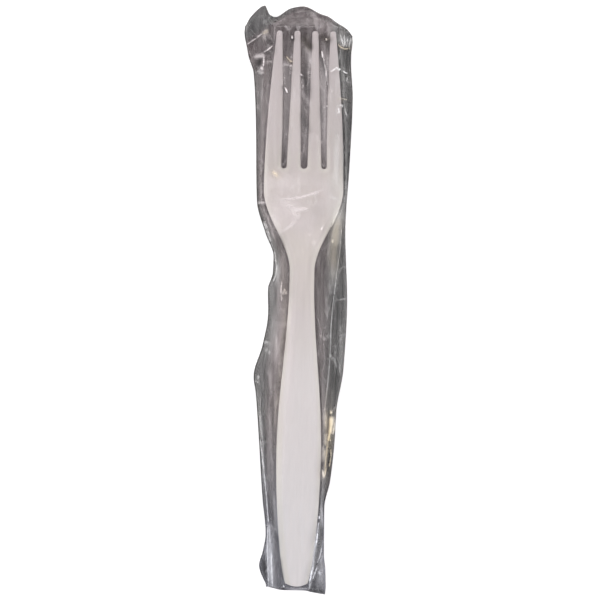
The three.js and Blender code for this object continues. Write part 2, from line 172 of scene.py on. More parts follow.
# How far the sleeve's folded edges stand from the fork's middle line, as [station, reach]
FILM_LEFT = [
    [0, 19.9],
    [3, 19.7],
    [8, 18.5],
    [13, 16.7],
    [28, 15.7],
    [SHOULDER + 3.5, 14.9],
    [SHOULDER + 14, 11.9],
    [NECK - 4.5, 9.2],
    [NECK + 0.5, 9.3],
    [HANDLE + 2.5, 10.8],
    [HANDLE + 10, 10.6],
    [HANDLE + 20.5, 12.2],
    [HANDLE + 30.5, 14.9],
    [HANDLE + 36, 14.1],
    [FORK_LENGTH - 27.8, 11.3],
    [FORK_LENGTH - 16.5, 10.1],
    [FORK_LENGTH - 11, 10.9],
    [FORK_LENGTH - 6.5, 12],
    [FORK_LENGTH - 0.6, 9.9],
]
FILM_RIGHT = [
    [3, 14.8],
    [8, 14.4],
    [21, 15.2],
    [TINE_LENGTH, 14.5],
    [SHOULDER + 11.5, 13.6],
    [HANDLE + 7.5, 14.6],
    [HANDLE + 28, 13.8],
    [HANDLE + 41, 11.8],
    [HANDLE + 51, 11.4],
    [FORK_LENGTH - 34, 10.2],
    [FORK_LENGTH - 25.5, 8.5],
    [FORK_LENGTH - 11, 8.6],
    [FORK_LENGTH - 5, 9.2],
    [FORK_LENGTH, 9.4],
]

# How far the inner ply of the back seam reaches in from the right fold, as [station, reach]
SEAM_REACH = [
    [0, 2],
    [SHOULDER + 8.5, 1.1],
    [HANDLE + 6, 4.2],
    [HANDLE + 45, 3],
    [FORK_LENGTH - 20.8, 1.2],
    [FORK_LENGTH, 5.2],
]

# The sleeve's sealed ends, as [distance from the middle line, overhang beyond the fork]
CORNER_PEAK = -13.5
TIP_END_EDGE = [
    [-19.9, 0.2],
    [-19.4, 1.8],
    [-17.9, 4.4],
    [CORNER_PEAK - 0.6, 8.1],
    [CORNER_PEAK, 8.6],
    [CORNER_PEAK + 0.6, 7],
    [CORNER_PEAK + 1.6, 5.4],
    [-10.1, 4.7],
    [-5, 7.6],
    [-1.2, 8.4],
    [4.6, 5.9],
    [6.6, 5.4],
    [9.8, 3.2],
    [13.1, 1.1],
    [14.7, -0.9],
]
HANDLE_END_EDGE = [
    [-9.9, 0.3],
    [-8.6, 0.6],
    [-4.1, 1.5],
    [2.3, 1.5],
    [5.2, 2],
    [9.4, 2.6],
]

# The line along which the tip end's left corner bends up, as (distance, station)
CORNER_BEND = [(-18.9, 3.5), (-9.1, -2.9)]

# Creases of the front ply by kind, each a line of points as (distance, station)
CREASES = {
    # Sharp kinks, each drawn with a painted white glint
    "glint": [
        [(-13.5, 6.6), (-12.1, 5.9), (-10.8, 4.9)],
        [(-13.5, 7.9), (-13.5, 9.5), (-13.6, 11.2)],
        [(7.9, 12.8), (9.9, 11.4), (10.7, 12.2), (11, 11.6)],
        [(11.9, 12.3), (13.3, 12.8)],
        [(-4.6, 1.6), (-4.5, 2.6)],
        [(6.2, 2.2), (6.5, 2.9)],
        [(-6.6, 17.8), (-5.7, 19.6)],
        [(-1.7, 13.5), (-1.1, 14.1)],
        [(10.7, 24.1), (10.8, 25.8), (11.4, 25.6)],
        [(-9.4, 45.4), (-8.9, 45.7)],
        [(6.3, 62.3), (5.9, 63.4)],
        [(7, 154.8), (7, 155.9)],
        [(6.5, 160.6), (6.3, 161.9), (5.8, 165)],
        [(5.1, 171.4), (4.7, 173.9), (4.3, 176.2)],
        [(5, 6.2), (5.3, 8.2)],
        [(-4.1, 177.6), (-3.9, 177.8)],
    ],
    # Plain creases, each drawn with a pale line, partly whitened film and partly painted highlight
    "pale": [
        [(-18.8, 4.1), (-17.2, 3), (-16, 2.4)],
        [(-15.7, 2), (-14.2, 1)],
        [(10.1, 4), (10.9, 4.8), (12.4, 5.2), (14.2, 4.9)],
        [(10.8, 0.8), (11.9, 4.5)],
        [(12, 0.6), (12.4, 4.5)],
        [(13.4, 0.8), (12.8, 4.5)],
        [(14.3, 1.7), (13.6, 4.5)],
        [(13.4, 13.7), (13.2, 15.5)],
        [(10.4, 21.3), (13.5, 21.3)],
        [(10.6, 23.3), (12, 23.3), (11.9, 24.1)],
        [(12.6, 23.9), (13.5, 27)],
        [(-6.2, 8.2), (-4.8, 9.7), (-3.8, 9.8)],
        [(5.3, 7.2), (6.4, 12.1), (7.1, 17)],
        [(6.6, 23.5), (7.3, 23.5)],
        [(11.4, 56.7), (10.1, 59.7), (9, 62.4)],
        [(-12.8, 60.5), (-11.3, 65), (-9.7, 69.3)],
        [(-12.2, 60.5), (-10.7, 65.5), (-9.3, 70)],
        [(-8.9, 70.5), (-8.6, 73), (-8.1, 75.5), (-8.4, 78), (-9.2, 80)],
        [(-6.4, 80), (-6.6, 82.5), (-6.3, 86)],
        [(-12.4, 131), (-10.5, 145.8), (-9.9, 151.2), (-9.3, 157.6)],
        [(-9.6, 159), (-9.5, 166.5), (-8.9, 178.2)],
        [(-8.3, 167), (-7.6, 178)],
        [(8, 165.2), (7.4, 168), (6.7, 170)],
        [(6.8, 157.1), (6.5, 159.1), (6.3, 162), (5.9, 164.7), (5.5, 167.9)],
        [(5.5, 167.9), (5.2, 171.6), (4.6, 174), (4.2, 178.2)],
        [(6.5, 171.6), (5.8, 173.5), (5.3, 175.2)],
        [(9.9, 129.5), (10.1, 131)],
        [(11.4, 125.1), (11.1, 127.3), (10.9, 128.9)],
        [(8.3, 133.7), (8.1, 135.4)],
        [(7.4, 139.6), (8.1, 142.1)],
        [(9, 139.4), (8.4, 142.2)],
        [(10.3, 133.7), (10.4, 135.9), (9.9, 139.2)],
    ],
    # Soft folds over the head and beside the handle
    "faint": [
        [(-10, 53.2), (-7.6, 52.9)],
        [(-6.6, 53.7), (-4.9, 53.5), (-1.5, 53), (0.7, 52.4), (3, 51.7), (5.8, 50.6)],
        [(2.1, 65.5), (1.5, 68)],
        [(3.5, 68), (4, 70.7)],
        [(9.3, 52.7), (11.6, 53.4)],
        [(-13.8, 56.1), (-11.9, 60.8), (-9.8, 67.1), (-8.7, 72)],
        [(-13, 56.1), (-11, 60.6), (-8.6, 67.1)],
        [(-9.1, 108.8), (-7.4, 109.4), (-6.3, 110.1)],
        [(6, 97.1), (7.6, 98), (8.9, 97.3)],
        [(10.6, 91.5), (12.6, 92.3), (14, 91.4)],
        [(9.4, 103.5), (11, 105.1), (11.6, 107)],
        [(-11.3, -3.3), (-11, 0.5), (-11.6, 2.3)],
    ],
    # The seam's cut edge, seen through the front ply and drawn with a painted highlight line
    "seam": [
        [
            (12.6, 57.8), (12.2, 68.3), (11, 78.2), (10.1, 86.8),
            (9.6, 94.1), (9.5, 103.5), (8.9, 112.1), (8, 121.1),
        ],
    ],
}

# Height and half width of the ridge that each kind of crease raises
RIDGES = {"glint": (0.3, 0.6), "pale": (0.15, 0.5), "faint": (0.16, 1.3), "seam": (0.05, 0.5)}
BLUNT_END = 0.6

# How far each kind of crease's painted highlight line is drawn to either side, and how white
LINE_REACHES = {"glint": 0.75, "pale": 0.7, "faint": 0.8, "seam": 0.5}
LINE_HIGHLIGHTS = {"glint": 1, "pale": 0.45, "faint": 0.06, "seam": 0.32}

# Soft white bands, partly scuffs and partly painted highlights: how strong, their half width, and their
# points
SCUFF_AND_HIGHLIGHT_BANDS = [
    # Tip end and tines
    (0.38, 0.6, [(-15.9, 7.9), (-13.9, 7.8)]),
    (0.7, 0.35, [(-14.2, 11.5), (-14, 11.8)]),
    (0.25, 0.35, [(-14.9, 12.3), (-14.6, 13.1), (-13.7, 13)]),
    (0.3, 0.4, [(-13.4, 0.6), (-12.6, 0.1)]),
    (0.14, 0.25, [(-13.1, 9.8), (-10.8, 9.8)]),
    (0.2, 0.35, [(-6.8, 10.4), (-4.4, 11.2)]),
    (0.04, 0.5, [(-6.1, -1.9), (1.5, -2)]),
    (0.25, 0.2, [(-6.8, -1.4), (-6.2, -0.8)]),
    (0.12, 0.22, [(-5.9, -0.4), (-4.9, -0.7)]),
    (0.14, 0.25, [(-3.2, -1.6), (-2.6, -0.2), (-2.1, -1.5)]),
    (0.14, 0.3, [(3, -2.4), (3.5, -0.4), (4.5, -2)]),
    (0.08, 0.7, [(1.9, -6.2), (2.8, -4), (3.2, -1.5)]),
    (0.07, 0.45, [(-5.4, -3.7), (1.4, -3.7)]),
    (0.1, 1.2, [(11, 2.6), (14, 2.6)]),
    (0.14, 0.9, [(0.1, 5.7), (1.2, 7.2), (1.5, 10.6)]),
    (0.1, 0.8, [(-1, 19.5), (1.4, 23.2)]),
    (0.06, 1, [(-5.7, 4), (-6.5, 42)]),
    (0.03, 1, [(0, 2), (0, 42)]),
    (0.1, 1.6, [(-3, 14), (-3.2, 42)]),
    (0.13, 1, [(5.7, 4), (6.5, 42)]),
    (0.16, 0.9, [(10.2, 33), (10.4, 42), (10.4, 50)]),
    # Shoulders and neck
    (0.6, 0.42, [(-9.7, 45.1), (-8.8, 45.8)]),
    (0.17, 0.3, [(-9, 53.9), (-4, 53.4), (-1, 52.9)]),
    (0.36, 0.28, [(-3.4, 53.3), (-1, 52.9), (0.7, 52.4), (3, 51.7), (5.8, 50.6)]),
    (0.25, 0.35, [(-14.6, 54.7), (-12.4, 54.9)]),
    (0.1, 0.9, [(-6.6, 54.7), (-4.9, 55.4), (-3.1, 56.4)]),
    (0.28, 0.45, [(-2.7, 57), (-0.6, 56.8), (0.9, 56.5)]),
    (0.13, 0.8, [(-3.6, 57), (-1.8, 59.2)]),
    (0.17, 0.5, [(-2.2, 60.5), (-4.5, 62.6), (-7.2, 64.5)]),
    (0.05, 0.7, [(1.6, 54), (3.1, 55), (4.3, 54)]),
    (0.07, 1.2, [(-9.6, 59.5), (-7, 63.5)]),
    (0.04, 0.5, [(9, 52.8), (11.6, 53.6)]),
    (0.06, 0.5, [(3.4, 66), (4.4, 69), (5, 64)]),
    (0.28, 1.5, [(12.1, 55.5), (11.2, 60.2), (10.6, 63.5), (10.3, 69.5)]),
    (0.6, 0.35, [(9.6, 66.4), (9.6, 67)]),
    (0.12, 1.3, [(10.4, 62), (10, 72), (10.1, 83)]),
    (0.4, 0.25, [(-5.9, 83.5), (-5.4, 82.9), (-5, 83.5)]),
    (0.1, 0.6, [(-8, 73), (-7.7, 78), (-7, 84)]),
    (0.15, 0.35, [(-8.6, 93.6), (-4.8, 93.6)]),
    (0.25, 0.35, [(-11.4, 99.6), (-10.1, 100)]),
    (0.2, 0.35, [(-11.1, 102.2), (-9.9, 102.6)]),
    (0.45, 0.25, [(-13.6, 110.4), (-13.4, 110.9)]),
    (0.12, 0.3, [(6.2, 97.2), (7.6, 98), (8.7, 97.3)]),
    (0.12, 0.3, [(9.6, 103.5), (11, 105.1), (11.6, 107)]),
    (0.12, 0.5, [(-8.3, 96), (-7.6, 101), (-8.2, 106)]),
    (0.08, 0.35, [(-12.5, 57), (-10.4, 62), (-8.4, 68.5)]),
    # Left of the handle
    (0.1, 0.5, [(-9.6, 107.5), (-9.5, 112.7), (-9.1, 116.6)]),
    (0.07, 0.5, [(-9.7, 118.9), (-9.4, 127.1), (-9.4, 135.6)]),
    (0.06, 0.5, [(-7.9, 113.4), (-7.6, 120.5), (-7.4, 127.1)]),
    (0.05, 0.35, [(-12.8, 120.5), (-12, 127.1), (-11.4, 135.6)]),
    # Left of the handle's end
    (0.3, 0.4, [(-9.3, 157.6), (-8.8, 162.5), (-8.5, 165.9)]),
    (0.22, 0.8, [(-9, 162), (-8.6, 168), (-8.1, 179)]),
    (0.1, 0.5, [(-7.7, 147.5), (-6.8, 156.1), (-6.1, 161)]),
    (0.22, 0.45, [(-2.6, 178.4), (0.3, 178.9), (3.9, 178.3)]),
    (0.5, 0.35, [(7.3, 173.2), (7.5, 173.6)]),
    (0.16, 0.3, [(8.6, 167.5), (7.6, 170)]),
    (0.16, 0.3, [(8.7, 172), (7.4, 175)]),
    # Right of the handle
    (0.8, 0.3, [(10.1, 121.5), (10.2, 121.9)]),
    (1.2, 0.62, [(10.3, 123.9), (10.3, 125.4)]),
    (1, 0.55, [(10.2, 126.2), (10, 128)]),
    (0.7, 0.35, [(9.8, 128.4), (9.4, 130.6)]),
    (0.4, 0.22, [(9.5, 129.5), (9.2, 131), (8.7, 136.9), (8.3, 142.4)]),
    (0.35, 0.25, [(11.5, 123.7), (11.4, 126.3), (11, 128.3)]),
    (0.3, 0.6, [(8.2, 120.8), (8.6, 127.6)]),
    (0.26, 0.5, [(8.6, 128.6), (8.5, 131.5)]),
    (0.07, 0.9, [(10.5, 129.5), (10.1, 133)]),
    (0.2, 0.3, [(8.4, 133.5), (8.3, 137)]),
    (0.2, 0.3, [(7.8, 132.5), (7.6, 137)]),
    (0.5, 0.4, [(8.1, 140.8), (8.1, 142.3)]),
    (0.2, 0.4, [(7.7, 152.2), (8.1, 158.6)]),
    (0.3, 0.3, [(6.6, 158), (6.3, 162), (5.5, 167.9), (5.2, 171.6), (4.4, 177)]),
    (0.1, 1, [(8.1, 169.9), (8, 174), (7.8, 177.7)]),
]

# Bands of painted shade, partly where the film is folded over
FOLD_AND_SHADE_BANDS = [
    # Tip end and tines
    (1, 0.8, [(-14.7, 9), (-14.9, 10)]),
    (0.35, 0.8, [(-12.4, 3.7), (-10.9, 3.4)]),
    (0.3, 1, [(-13, 7), (-10.8, 6.6)]),
    (0.12, 0.5, [(-6.1, -0.6), (-2.7, -0.5), (2.2, -0.7)]),
    (0.45, 0.25, [(-3.4, -1.8), (-2.6, -0.4)]),
    (0.45, 0.25, [(4.1, -1.8), (3.6, -0.4)]),
    (0.2, 0.4, [(-6, -1.9), (2, -1.9)]),
    (0.3, 0.6, [(-6, -6.3), (-2, -7.6), (0.5, -7.3), (4.2, -5.1)]),
    (0.45, 0.7, [(4.8, -4.7), (8, -3.2), (11, -1.2)]),
    (1, 0.25, [(-4.1, 1.8), (-4, 2.9)]),
    (0.55, 1.2, [(12.4, 6.3), (12.8, 9.7)]),
    (0.6, 1, [(-0.7, 2.2), (1.1, 5)]),
    (0.45, 0.9, [(5.1, 1.7), (7.3, 2.6)]),
    (0.5, 0.9, [(-0.7, 11.5), (0.3, 16.4), (1.3, 20.7)]),
    (0.4, 0.8, [(-1, 26.5), (1.2, 31.4)]),
    (0.8, 0.4, [(4.7, 6.6), (6, 12.1), (7.3, 17.7)]),
    (0.5, 0.4, [(5.2, 23.8), (5.5, 28.4)]),
    (0.4, 0.4, [(-7.3, 17.7), (-6.8, 19.5)]),
    (0.25, 0.8, [(-6.4, 37), (-6.4, 43.5)]),
    (0.03, 2, [(9.4, 14), (10, 42)]),
    (0.55, 1, [(14, 22), (13.6, 50)]),
    # Shoulders and neck
    # Painted shade: the right half of the head darker
    (0.08, 2.8, [(4.6, 54.5), (5.2, 60)]),
    (0.6, 0.5, [(9.4, 61.5), (8.5, 67)]),
    (0.75, 0.9, [(-8.6, 65), (-6.5, 71)]),
    (0.35, 0.6, [(-5.6, 71), (-5, 78), (-4.9, 88)]),
    (0.35, 0.5, [(-8.9, 78), (-8.4, 84), (-9, 90)]),
    # Left of the handle
    (0.4, 0.5, [
        (-10.2, 86.5), (-10.2, 92.1), (-11.7, 99.6), (-13.7, 104.9), (-14.6, 110.1), (-14.1, 114),
    ]),
    (0.35, 0.5, [(-4.9, 94.7), (-5.5, 100.3), (-6.1, 104.2)]),
    (0.3, 0.7, [(-11.1, 104.9), (-10.9, 110.7), (-10.4, 116)]),
    (0.25, 0.5, [(-12.1, 120.5), (-11, 127.1), (-10.6, 135.6)]),
    (0.25, 0.4, [(-8.6, 118.9), (-8.3, 127.1), (-8.3, 135.6)]),
    # Left of the handle's end
    (0.35, 0.4, [(-11.1, 145.3), (-10.6, 151.2), (-10.1, 156.6)]),
    (0.25, 0.8, [(-9.1, 148.8), (-7.8, 156.1), (-6.4, 163.5), (-6.3, 168.4)]),
    (0.6, 0.8, [(-10.7, 169), (-10, 175.5)]),
    (0.4, 0.4, [(-5.1, 168.4), (-4.2, 177)]),
    (0.9, 0.25, [(-4.4, 178.1), (-4, 179.1)]),
    # Right of the handle
    (0.2, 1, [(7.5, 72.2), (8.2, 84.2)]),
    (0.6, 0.45, [(8.7, 121.2), (8.9, 122.6), (9.9, 122.8)]),
    (0.9, 0.3, [(9.3, 123.2), (9.2, 125.5)]),
    (0.9, 0.4, [(9.2, 125.5), (9.1, 128.2)]),
    (0.6, 0.5, [(8.6, 126), (8.6, 128.2)]),
    (0.3, 0.4, [(9.9, 131.5), (9.7, 135)]),
    (0.6, 0.45, [(9.5, 135.6), (9.4, 138)]),
    (0.5, 0.45, [(9.4, 138), (9.2, 140.4)]),
    (0.5, 0.3, [(7.9, 136.9), (8, 140)]),
    (0.25, 0.8, [(8.2, 144.4), (7.8, 150)]),
    (0.4, 0.5, [(7.3, 156.6), (7, 161), (6.6, 165.9)]),
    (0.4, 0.5, [(4.9, 178.7), (9.1, 179.7)]),
]

# Bands where painted highlights turn cream and painted shade brown, painting warm reflections in the
# crinkles
WARM_BANDS = [
    # Tip end and tines
    (0.7, 0.7, [(-13.4, 0.6), (-12.6, 0.1)]),
    (0.8, 0.6, [(10.1, 4), (10.9, 4.8), (12.4, 5.2), (14.2, 4.9)]),
    (0.7, 0.7, [(-6.2, 8.2), (-4.8, 9.7), (-3.8, 9.8)]),
    (0.6, 0.6, [(10.4, 21.3), (13.5, 21.3)]),
    (0.4, 1.3, [(-0.7, 2.2), (1.1, 5)]),
    (0.4, 1.2, [(5.1, 1.7), (7.3, 2.6)]),
    # Shoulders and neck
    (0.7, 1.2, [(-10, 45), (-8.6, 45.9)]),
    (0.6, 1.9, [(12, 57.2), (11, 61.1), (10.3, 64.7), (10, 70), (10.2, 78)]),
    (0.4, 1.2, [(-8.2, 66.2), (-5.8, 72), (-5, 88), (-5.6, 104), (-7.2, 122), (-7.8, 134)]),
    # Right of the handle
    (1, 1.8, [(9.5, 116), (9.6, 130), (9, 148)]),
]

# Back ply veiled white, part haze, part painted sheen: how much, half width, half length, and the middle
HAZE_AND_SHEEN_ZONES = [
    (0.12, 3.5, 22, (-14, 25)),
    (0.06, 10, 26, (-1, 22)),
    (0.12, 4, 2.5, (7, -1.5)),
    (0.28, 4, 10, (-9.5, 74)),
    (0.28, 5, 14, (-8, 97)),
    (0.1, 3, 18, (-10.5, 135)),
    (0.16, 2.5, 14, (-7.5, 170)),
    (0.03, 3, 25, (9, 80)),
    (0.03, 3, 12, (8, 150)),
    (0.1, 3, 12, (7, 172)),
]

# Zones of painted sheen where the front ply lies close on the fork, most on the fork's left: how strong,
# half width, half length, and the middle
SHEEN_ZONES = [
    (0.15, 7, 4, (-6, 47)),
    (0.1, 2, 8, (-11.5, 50)),
    (0.16, 5, 4.5, (-5, 57.8)),
    (0.1, 2, 6, (-9, 62.5)),
    (0.12, 1.5, 20, (-3.5, 100)),
    (0.1, 2, 35, (-6, 150)),
]

# Painted shade on the back ply, partly where it lies double: how dim, half width, half length, the
# middle
PAINTED_SHADE_ZONES = [
    (1, 4.5, 6, (-16.5, -2.5)),
    (0.6, 2.2, 8, (-12.4, 112)),
    (0.2, 9, 4, (-2, -4)),
    (1, 2.2, 18, (13.7, 36)),
    (0.9, 2, 16, (12.8, 80)),
    (0.15, 3, 12, (7.5, 80)),
    (0.5, 5, 20, (10, 106)),
    (0.5, 3, 12, (8, 150)),
]

# How much of a long band is left at its ends, over what share of it that fades, the lengths at which a
# band starts to be long and is long, and how much of a dark one lies on the front ply
BAND_END = 0.3
BAND_FADE = 0.3
LONG_BAND = (2.5, 8)
FRONT_SHADE = 0.6

# How pale the front ply turns at its folds and where across the margin, and the painted sheen on the
# fine folds that lie over the fork, with the share of that over the handle
FOLD_PALENESS = 0.06
FOLD_EDGE = (0.86, 0.97)
OVER_FORK_SHEEN = 0.1
HANDLE_SHEEN = 0.3

# Where the front ply lies on the fork: how soft its border is, the stations where it begins, and how
# much of the hairlines it presses flat over the head and the handle
FORK_BORDER = 0.5
PRESSED_START = (TINE_LENGTH - 1, TINE_LENGTH + 5)
HEAD_PRESSED = 0.5
HANDLE_PRESSED = 0.9

# Where the back ply's smoke turns from mauve to grey, and from there to blue: distances on the right,
# shares of the margin on the left with its strength beside the head and its first stations, the width
# of the turn beyond the corner's bend, and the stations of the blue
MAUVE_HALF_WIDTH = 3
GREY_RIGHT = (6.5, 10)
GREY_LEFT = (0.3, 0.75)
GREY_BESIDE_HEAD = 0.6
GREY_FROM_TIP = (8, 14)
GREY_BEYOND_BEND = 1.5
BLUE_RUN = (118, 165)

# Fine crumple of the film: length and width of its folds, and their height on each ply
CRUMPLE_LENGTH = 15
CRUMPLE_WIDTH = 2.4
CRUMPLE_HEIGHT = 0.2
CRUMPLE_SEED = 7
BACK_CRUMPLE_HEIGHT = 0.1
BACK_CRUMPLE_SEED = 11

# The two sizes of fold in a crumple: their share of the height, how much finer they are across and
# along, and where they start on the lattice of random heights
FOLD_SIZES = [(0.65, 1, 1, 40, 20), (0.35, 2.1, 2.3, 80, 60)]
LATTICE = 257

# Rows of the meshes, as (end, steps) runs along the fork, or along the zones at the film's two ends
TINE_ROWS = [(0.3, 5), (1.5, 6), (TINE_LENGTH - 2, 60), (TINE_LENGTH - 0.3, 14), (TINE_LENGTH, 5)]
BODY_ROWS = [
    (TINE_LENGTH + 0.6, 6), (TINE_LENGTH + 2.4, 9), (SHOULDER, 8), (HANDLE, 40),
    (GRIP, 60), (FORK_LENGTH - 6, 50), (FORK_LENGTH - 0.6, 24), (FORK_LENGTH, 8),
]
TIP_ZONE_ROWS = [(0.12, 14), (0.45, 26), (1, 30)]
FILM_ROWS = [(30, 40), (48, 28), (68, 44), (82, 20), (118, 45), (145, 50), (FORK_LENGTH - END_ZONE, 32)]
END_ZONE_ROWS = [(0.7, 20), (1, 16)]

# Columns of the meshes
TINE_STEPS = 12
FRONT_STEPS = 97
BACK_STEPS = 27
INNER_STEPS = 3
FOLD_STEPS = 3
MARGIN_COLUMNS = 0.36

# The picture: how much it takes in, the point at its middle, and how the fork leans in it
PICTURE_SPAN = 192.2
PICTURE_STATION = 85.8
PICTURE_OFFSET = -0.49
PICTURE_HEIGHT = 5
PICTURE_LEAN = math.radians(1.06)
CAMERA_HEIGHT = 0.9
SENSOR_WIDTH = 36


# Small helpers

def mix(low, high, share):
    """The value a share of the way from low to high."""
    return low + (high - low) * share


def ease(value, start, end):
    """0 before start and 1 after end, with a smooth S between: 3t squared less 2t cubed."""
    t = np.clip((value - start) / (end - start), 0, 1)
    return t * t * (3 - 2 * t)


def smooth_curve(points):
    """A smooth curve through [place, value] points: Hermite cubics whose slopes are the harmonic
    means of the secants on either side, so that it never overshoots a point."""
    place, value = np.array(points, float).T
    secant = np.diff(value) / np.diff(place)
    before = np.concatenate([secant[:1], secant])
    after = np.concatenate([secant, secant[-1:]])
    rising = before * after > 0
    slope = np.where(rising, 2 * before * after / np.where(rising, before + after, 1), 0)

    def at(where):
        where = np.clip(where, place[0], place[-1])
        k = np.clip(np.searchsorted(place, where, side="right") - 1, 0, len(place) - 2)
        run = place[k + 1] - place[k]
        t = (where - place[k]) / run
        pull = run * t * (1 - t) * (slope[k] * (1 - t) - slope[k + 1] * t)
        return mix(value[k], value[k + 1], t * t * (3 - 2 * t)) + pull

    return at


def stretches(start, *runs):
    """Places along a line: for each (end, steps) run, even steps from the last end to that one."""
    places = [np.array([float(start)])]
    for end, steps in runs:
        places.append(np.linspace(places[-1][-1], end, steps + 1)[1:])
    return np.concatenate(places)


def value_noise(u, v, seed):
    """Random heights from 0 to 1 on a unit lattice, eased between each point's four neighbours."""
    heights = np.random.default_rng(seed).random((LATTICE, LATTICE))
    column, row = np.floor(u).astype(int), np.floor(v).astype(int)
    across, along = ease(u - column, 0, 1), ease(v - row, 0, 1)
    corner = lambda i, j: heights[(column + i) % LATTICE, (row + j) % LATTICE]
    near = mix(corner(0, 0), corner(1, 0), across)
    far = mix(corner(0, 1), corner(1, 1), across)
    return mix(near, far, along)


def folds(s, x, length, width, seed):
    """Sharp folds from 0 to 1: two sizes of noise stretched along the fork, each creased at mid height
    and squared."""
    total = 0
    for number, (share, finer_x, finer_s, from_x, from_s) in enumerate(FOLD_SIZES):
        height = value_noise(finer_x * x / width + from_x, finer_s * s / length + from_s, seed + number)
        total = total + share * (1 - np.abs(2 * height - 1)) ** 2
    return total


def line_place(s, x, points):
    """Distance to a line of straight runs, the least of the distances to each run, and how far along
    the line its nearest point lies, from 0 to 1."""
    lengths = [math.dist(*pair) for pair in zip(points, points[1:])]
    nearest = np.full(np.shape(x), np.inf)
    share = np.zeros(np.shape(x))
    passed = 0
    for (x0, s0), (x1, s1), length in zip(points, points[1:], lengths):
        run_x, run_s = (x1 - x0) / length, (s1 - s0) / length
        along = np.clip((x - x0) * run_x + (s - s0) * run_s, 0, length)
        away = np.hypot(x - x0 - along * run_x, s - s0 - along * run_s)
        closer = away < nearest
        nearest = np.where(closer, away, nearest)
        share = np.where(closer, (passed + along) / sum(lengths), share)
        passed += length
    return nearest, share


def patches(s, x, spots):
    """A sum of soft spots, each a bell over an ellipse."""
    return sum(
        amount * np.exp(-(((x - middle[0]) / wide) ** 2) - ((s - middle[1]) / long) ** 2)
        for amount, wide, long, middle in spots
    )


# The fork's form

def half_width(s):
    """Half the fork's width: a sine over the head, eased falls and swells down the neck and handle,
    and a blunt ellipse at the end."""
    s = np.clip(s, 0, FORK_LENGTH)
    head = mix(TIP_SPREAD, HEAD_WIDTH, np.sin(np.minimum(s / SHOULDER, 1) * math.pi / 2))
    shoulders = mix(HEAD_WIDTH, NECK_WIDTH, ease(s, SHOULDER, NECK))
    handle = mix(NECK_WIDTH, GRIP_WIDTH, ease(s, HANDLE, GRIP))
    t = np.clip((s - GRIP) / GRIP_FROM_END, 0, 1)
    grip = mix(END_WIDTH, GRIP_WIDTH, (1 - t * t) ** GRIP_FULLNESS)
    return np.select([s < SHOULDER, s < HANDLE, s < GRIP], [head, shoulders, handle], grip) / 2


underside = smooth_curve([
    [0, TIP_RISE],
    [TINE_LENGTH / 2, TINE_RISE],
    [TINE_LENGTH + BOWL_BEHIND_ROOT, 0],
    [(SHOULDER + NECK) / 2, SHOULDER_RISE],
    [HANDLE + ARCH_BEHIND_NECK, ARCH_RISE],
    [FORK_LENGTH - GRIP_RISE_FROM_END, GRIP_RISE],
    [FORK_LENGTH, 0],
])
depth = smooth_curve([
    [0, TIP_THICKNESS],
    [TINE_LENGTH, HEAD_THICKNESS],
    [SHOULDER, HEAD_THICKNESS],
    [HANDLE, NECK_DEPTH],
    [GRIP, GRIP_DEPTH],
    [FORK_LENGTH, END_DEPTH],
])
dish = smooth_curve([
    [0, 0],
    [TINE_LENGTH, DISH_DEPTH],
    [SHOULDER, DISH_DEPTH],
    [NECK, 0],
])


def bowed(s, x):
    """How far the dished head rises towards its sides: the square of the share of the half width."""
    return dish(s) * (x / half_width(s)) ** 2


def handle_share(s):
    """How far the section has turned from the head's form to the handle's."""
    return ease(s, SHOULDER, NECK)


def tine(k, s):
    """Middle line and width of tine k: inner tines widen evenly to their roots, and outer ones along
    a quarter of a sine."""
    t = np.clip(s / TINE_LENGTH, 0, 1)
    outer = mix(OUTER_TINE_TIP, OUTER_TINE_ROOT, np.sin(t * math.pi / 2))
    inner = mix(INNER_TINE_TIP, INNER_TINE_ROOT, t)
    pitch = (2 * half_width(s) - outer) / 3
    return (k - 1.5) * pitch, outer if k in (0, 3) else inner


def tip_back(k, s):
    """How far a station lies before the middle of tine k's round tip, as a share of its radius."""
    radius = tine(k, 0)[1] / 2
    return np.maximum(0, 1 - TIP_BLUNTNESS - s / radius)


def slot(k, s):
    """Middle line and half width of the slot after tine k, before its end is rounded."""
    (left, left_width), (right, right_width) = tine(k, s), tine(k + 1, s)
    left_edge, right_edge = left + left_width / 2, right - right_width / 2
    return (left_edge + right_edge) / 2, (right_edge - left_edge) / 2


def into_slot_end(k, s):
    """How far a station has come into the half circle that ends slot k."""
    return np.maximum(0, s - TINE_LENGTH + slot(k, TINE_LENGTH)[1])


def slot_distance(k, s, x):
    """Distance outside slot k, a strip that ends in a half circle, and negative inside it."""
    middle, half = slot(k, np.minimum(s, TINE_LENGTH))
    return np.hypot(x - middle, into_slot_end(k, s)) - half


def side_distance(s, x):
    """Distance in from the fork's outline: the least of those to its sides, slots and tips."""
    slope = (half_width(s + SLOPE_STEP) - half_width(s - SLOPE_STEP)) / (2 * SLOPE_STEP)
    sides = (half_width(s) - np.abs(x)) / np.hypot(1, slope)
    slots = np.min([slot_distance(k, s, x) for k in range(3)], axis=0)
    tips = np.max([
        np.where(tip_back(k, s) > 0, 1, np.inf) * (tine(k, s)[1] / 2)
        - np.hypot(x - tine(k, s)[0], tip_back(k, s) * tine(k, s)[1] / 2)
        for k in range(4)
    ], axis=0)
    return np.maximum(0, np.min([sides, slots, tips], axis=0))


def edge_distance(s, x):
    """Distance in from every edge: the outline's, or that to the handle's end where it is nearer."""
    return np.minimum(side_distance(s, x), np.maximum(0, FORK_LENGTH - s))


def rounding(distance, radius):
    """How far a rounded edge falls away: a quarter circle over the last radius before the edge."""
    short = radius - np.minimum(distance, radius)
    return radius - np.sqrt(np.maximum(0, radius**2 - short**2))


def fork_face(s, x):
    """Height of the fork's face before its edges are shaped."""
    s = np.clip(s, 0, FORK_LENGTH)
    x = np.clip(x, -half_width(s), half_width(s))
    return FORK_REST + underside(s) + depth(s) + bowed(s, x)


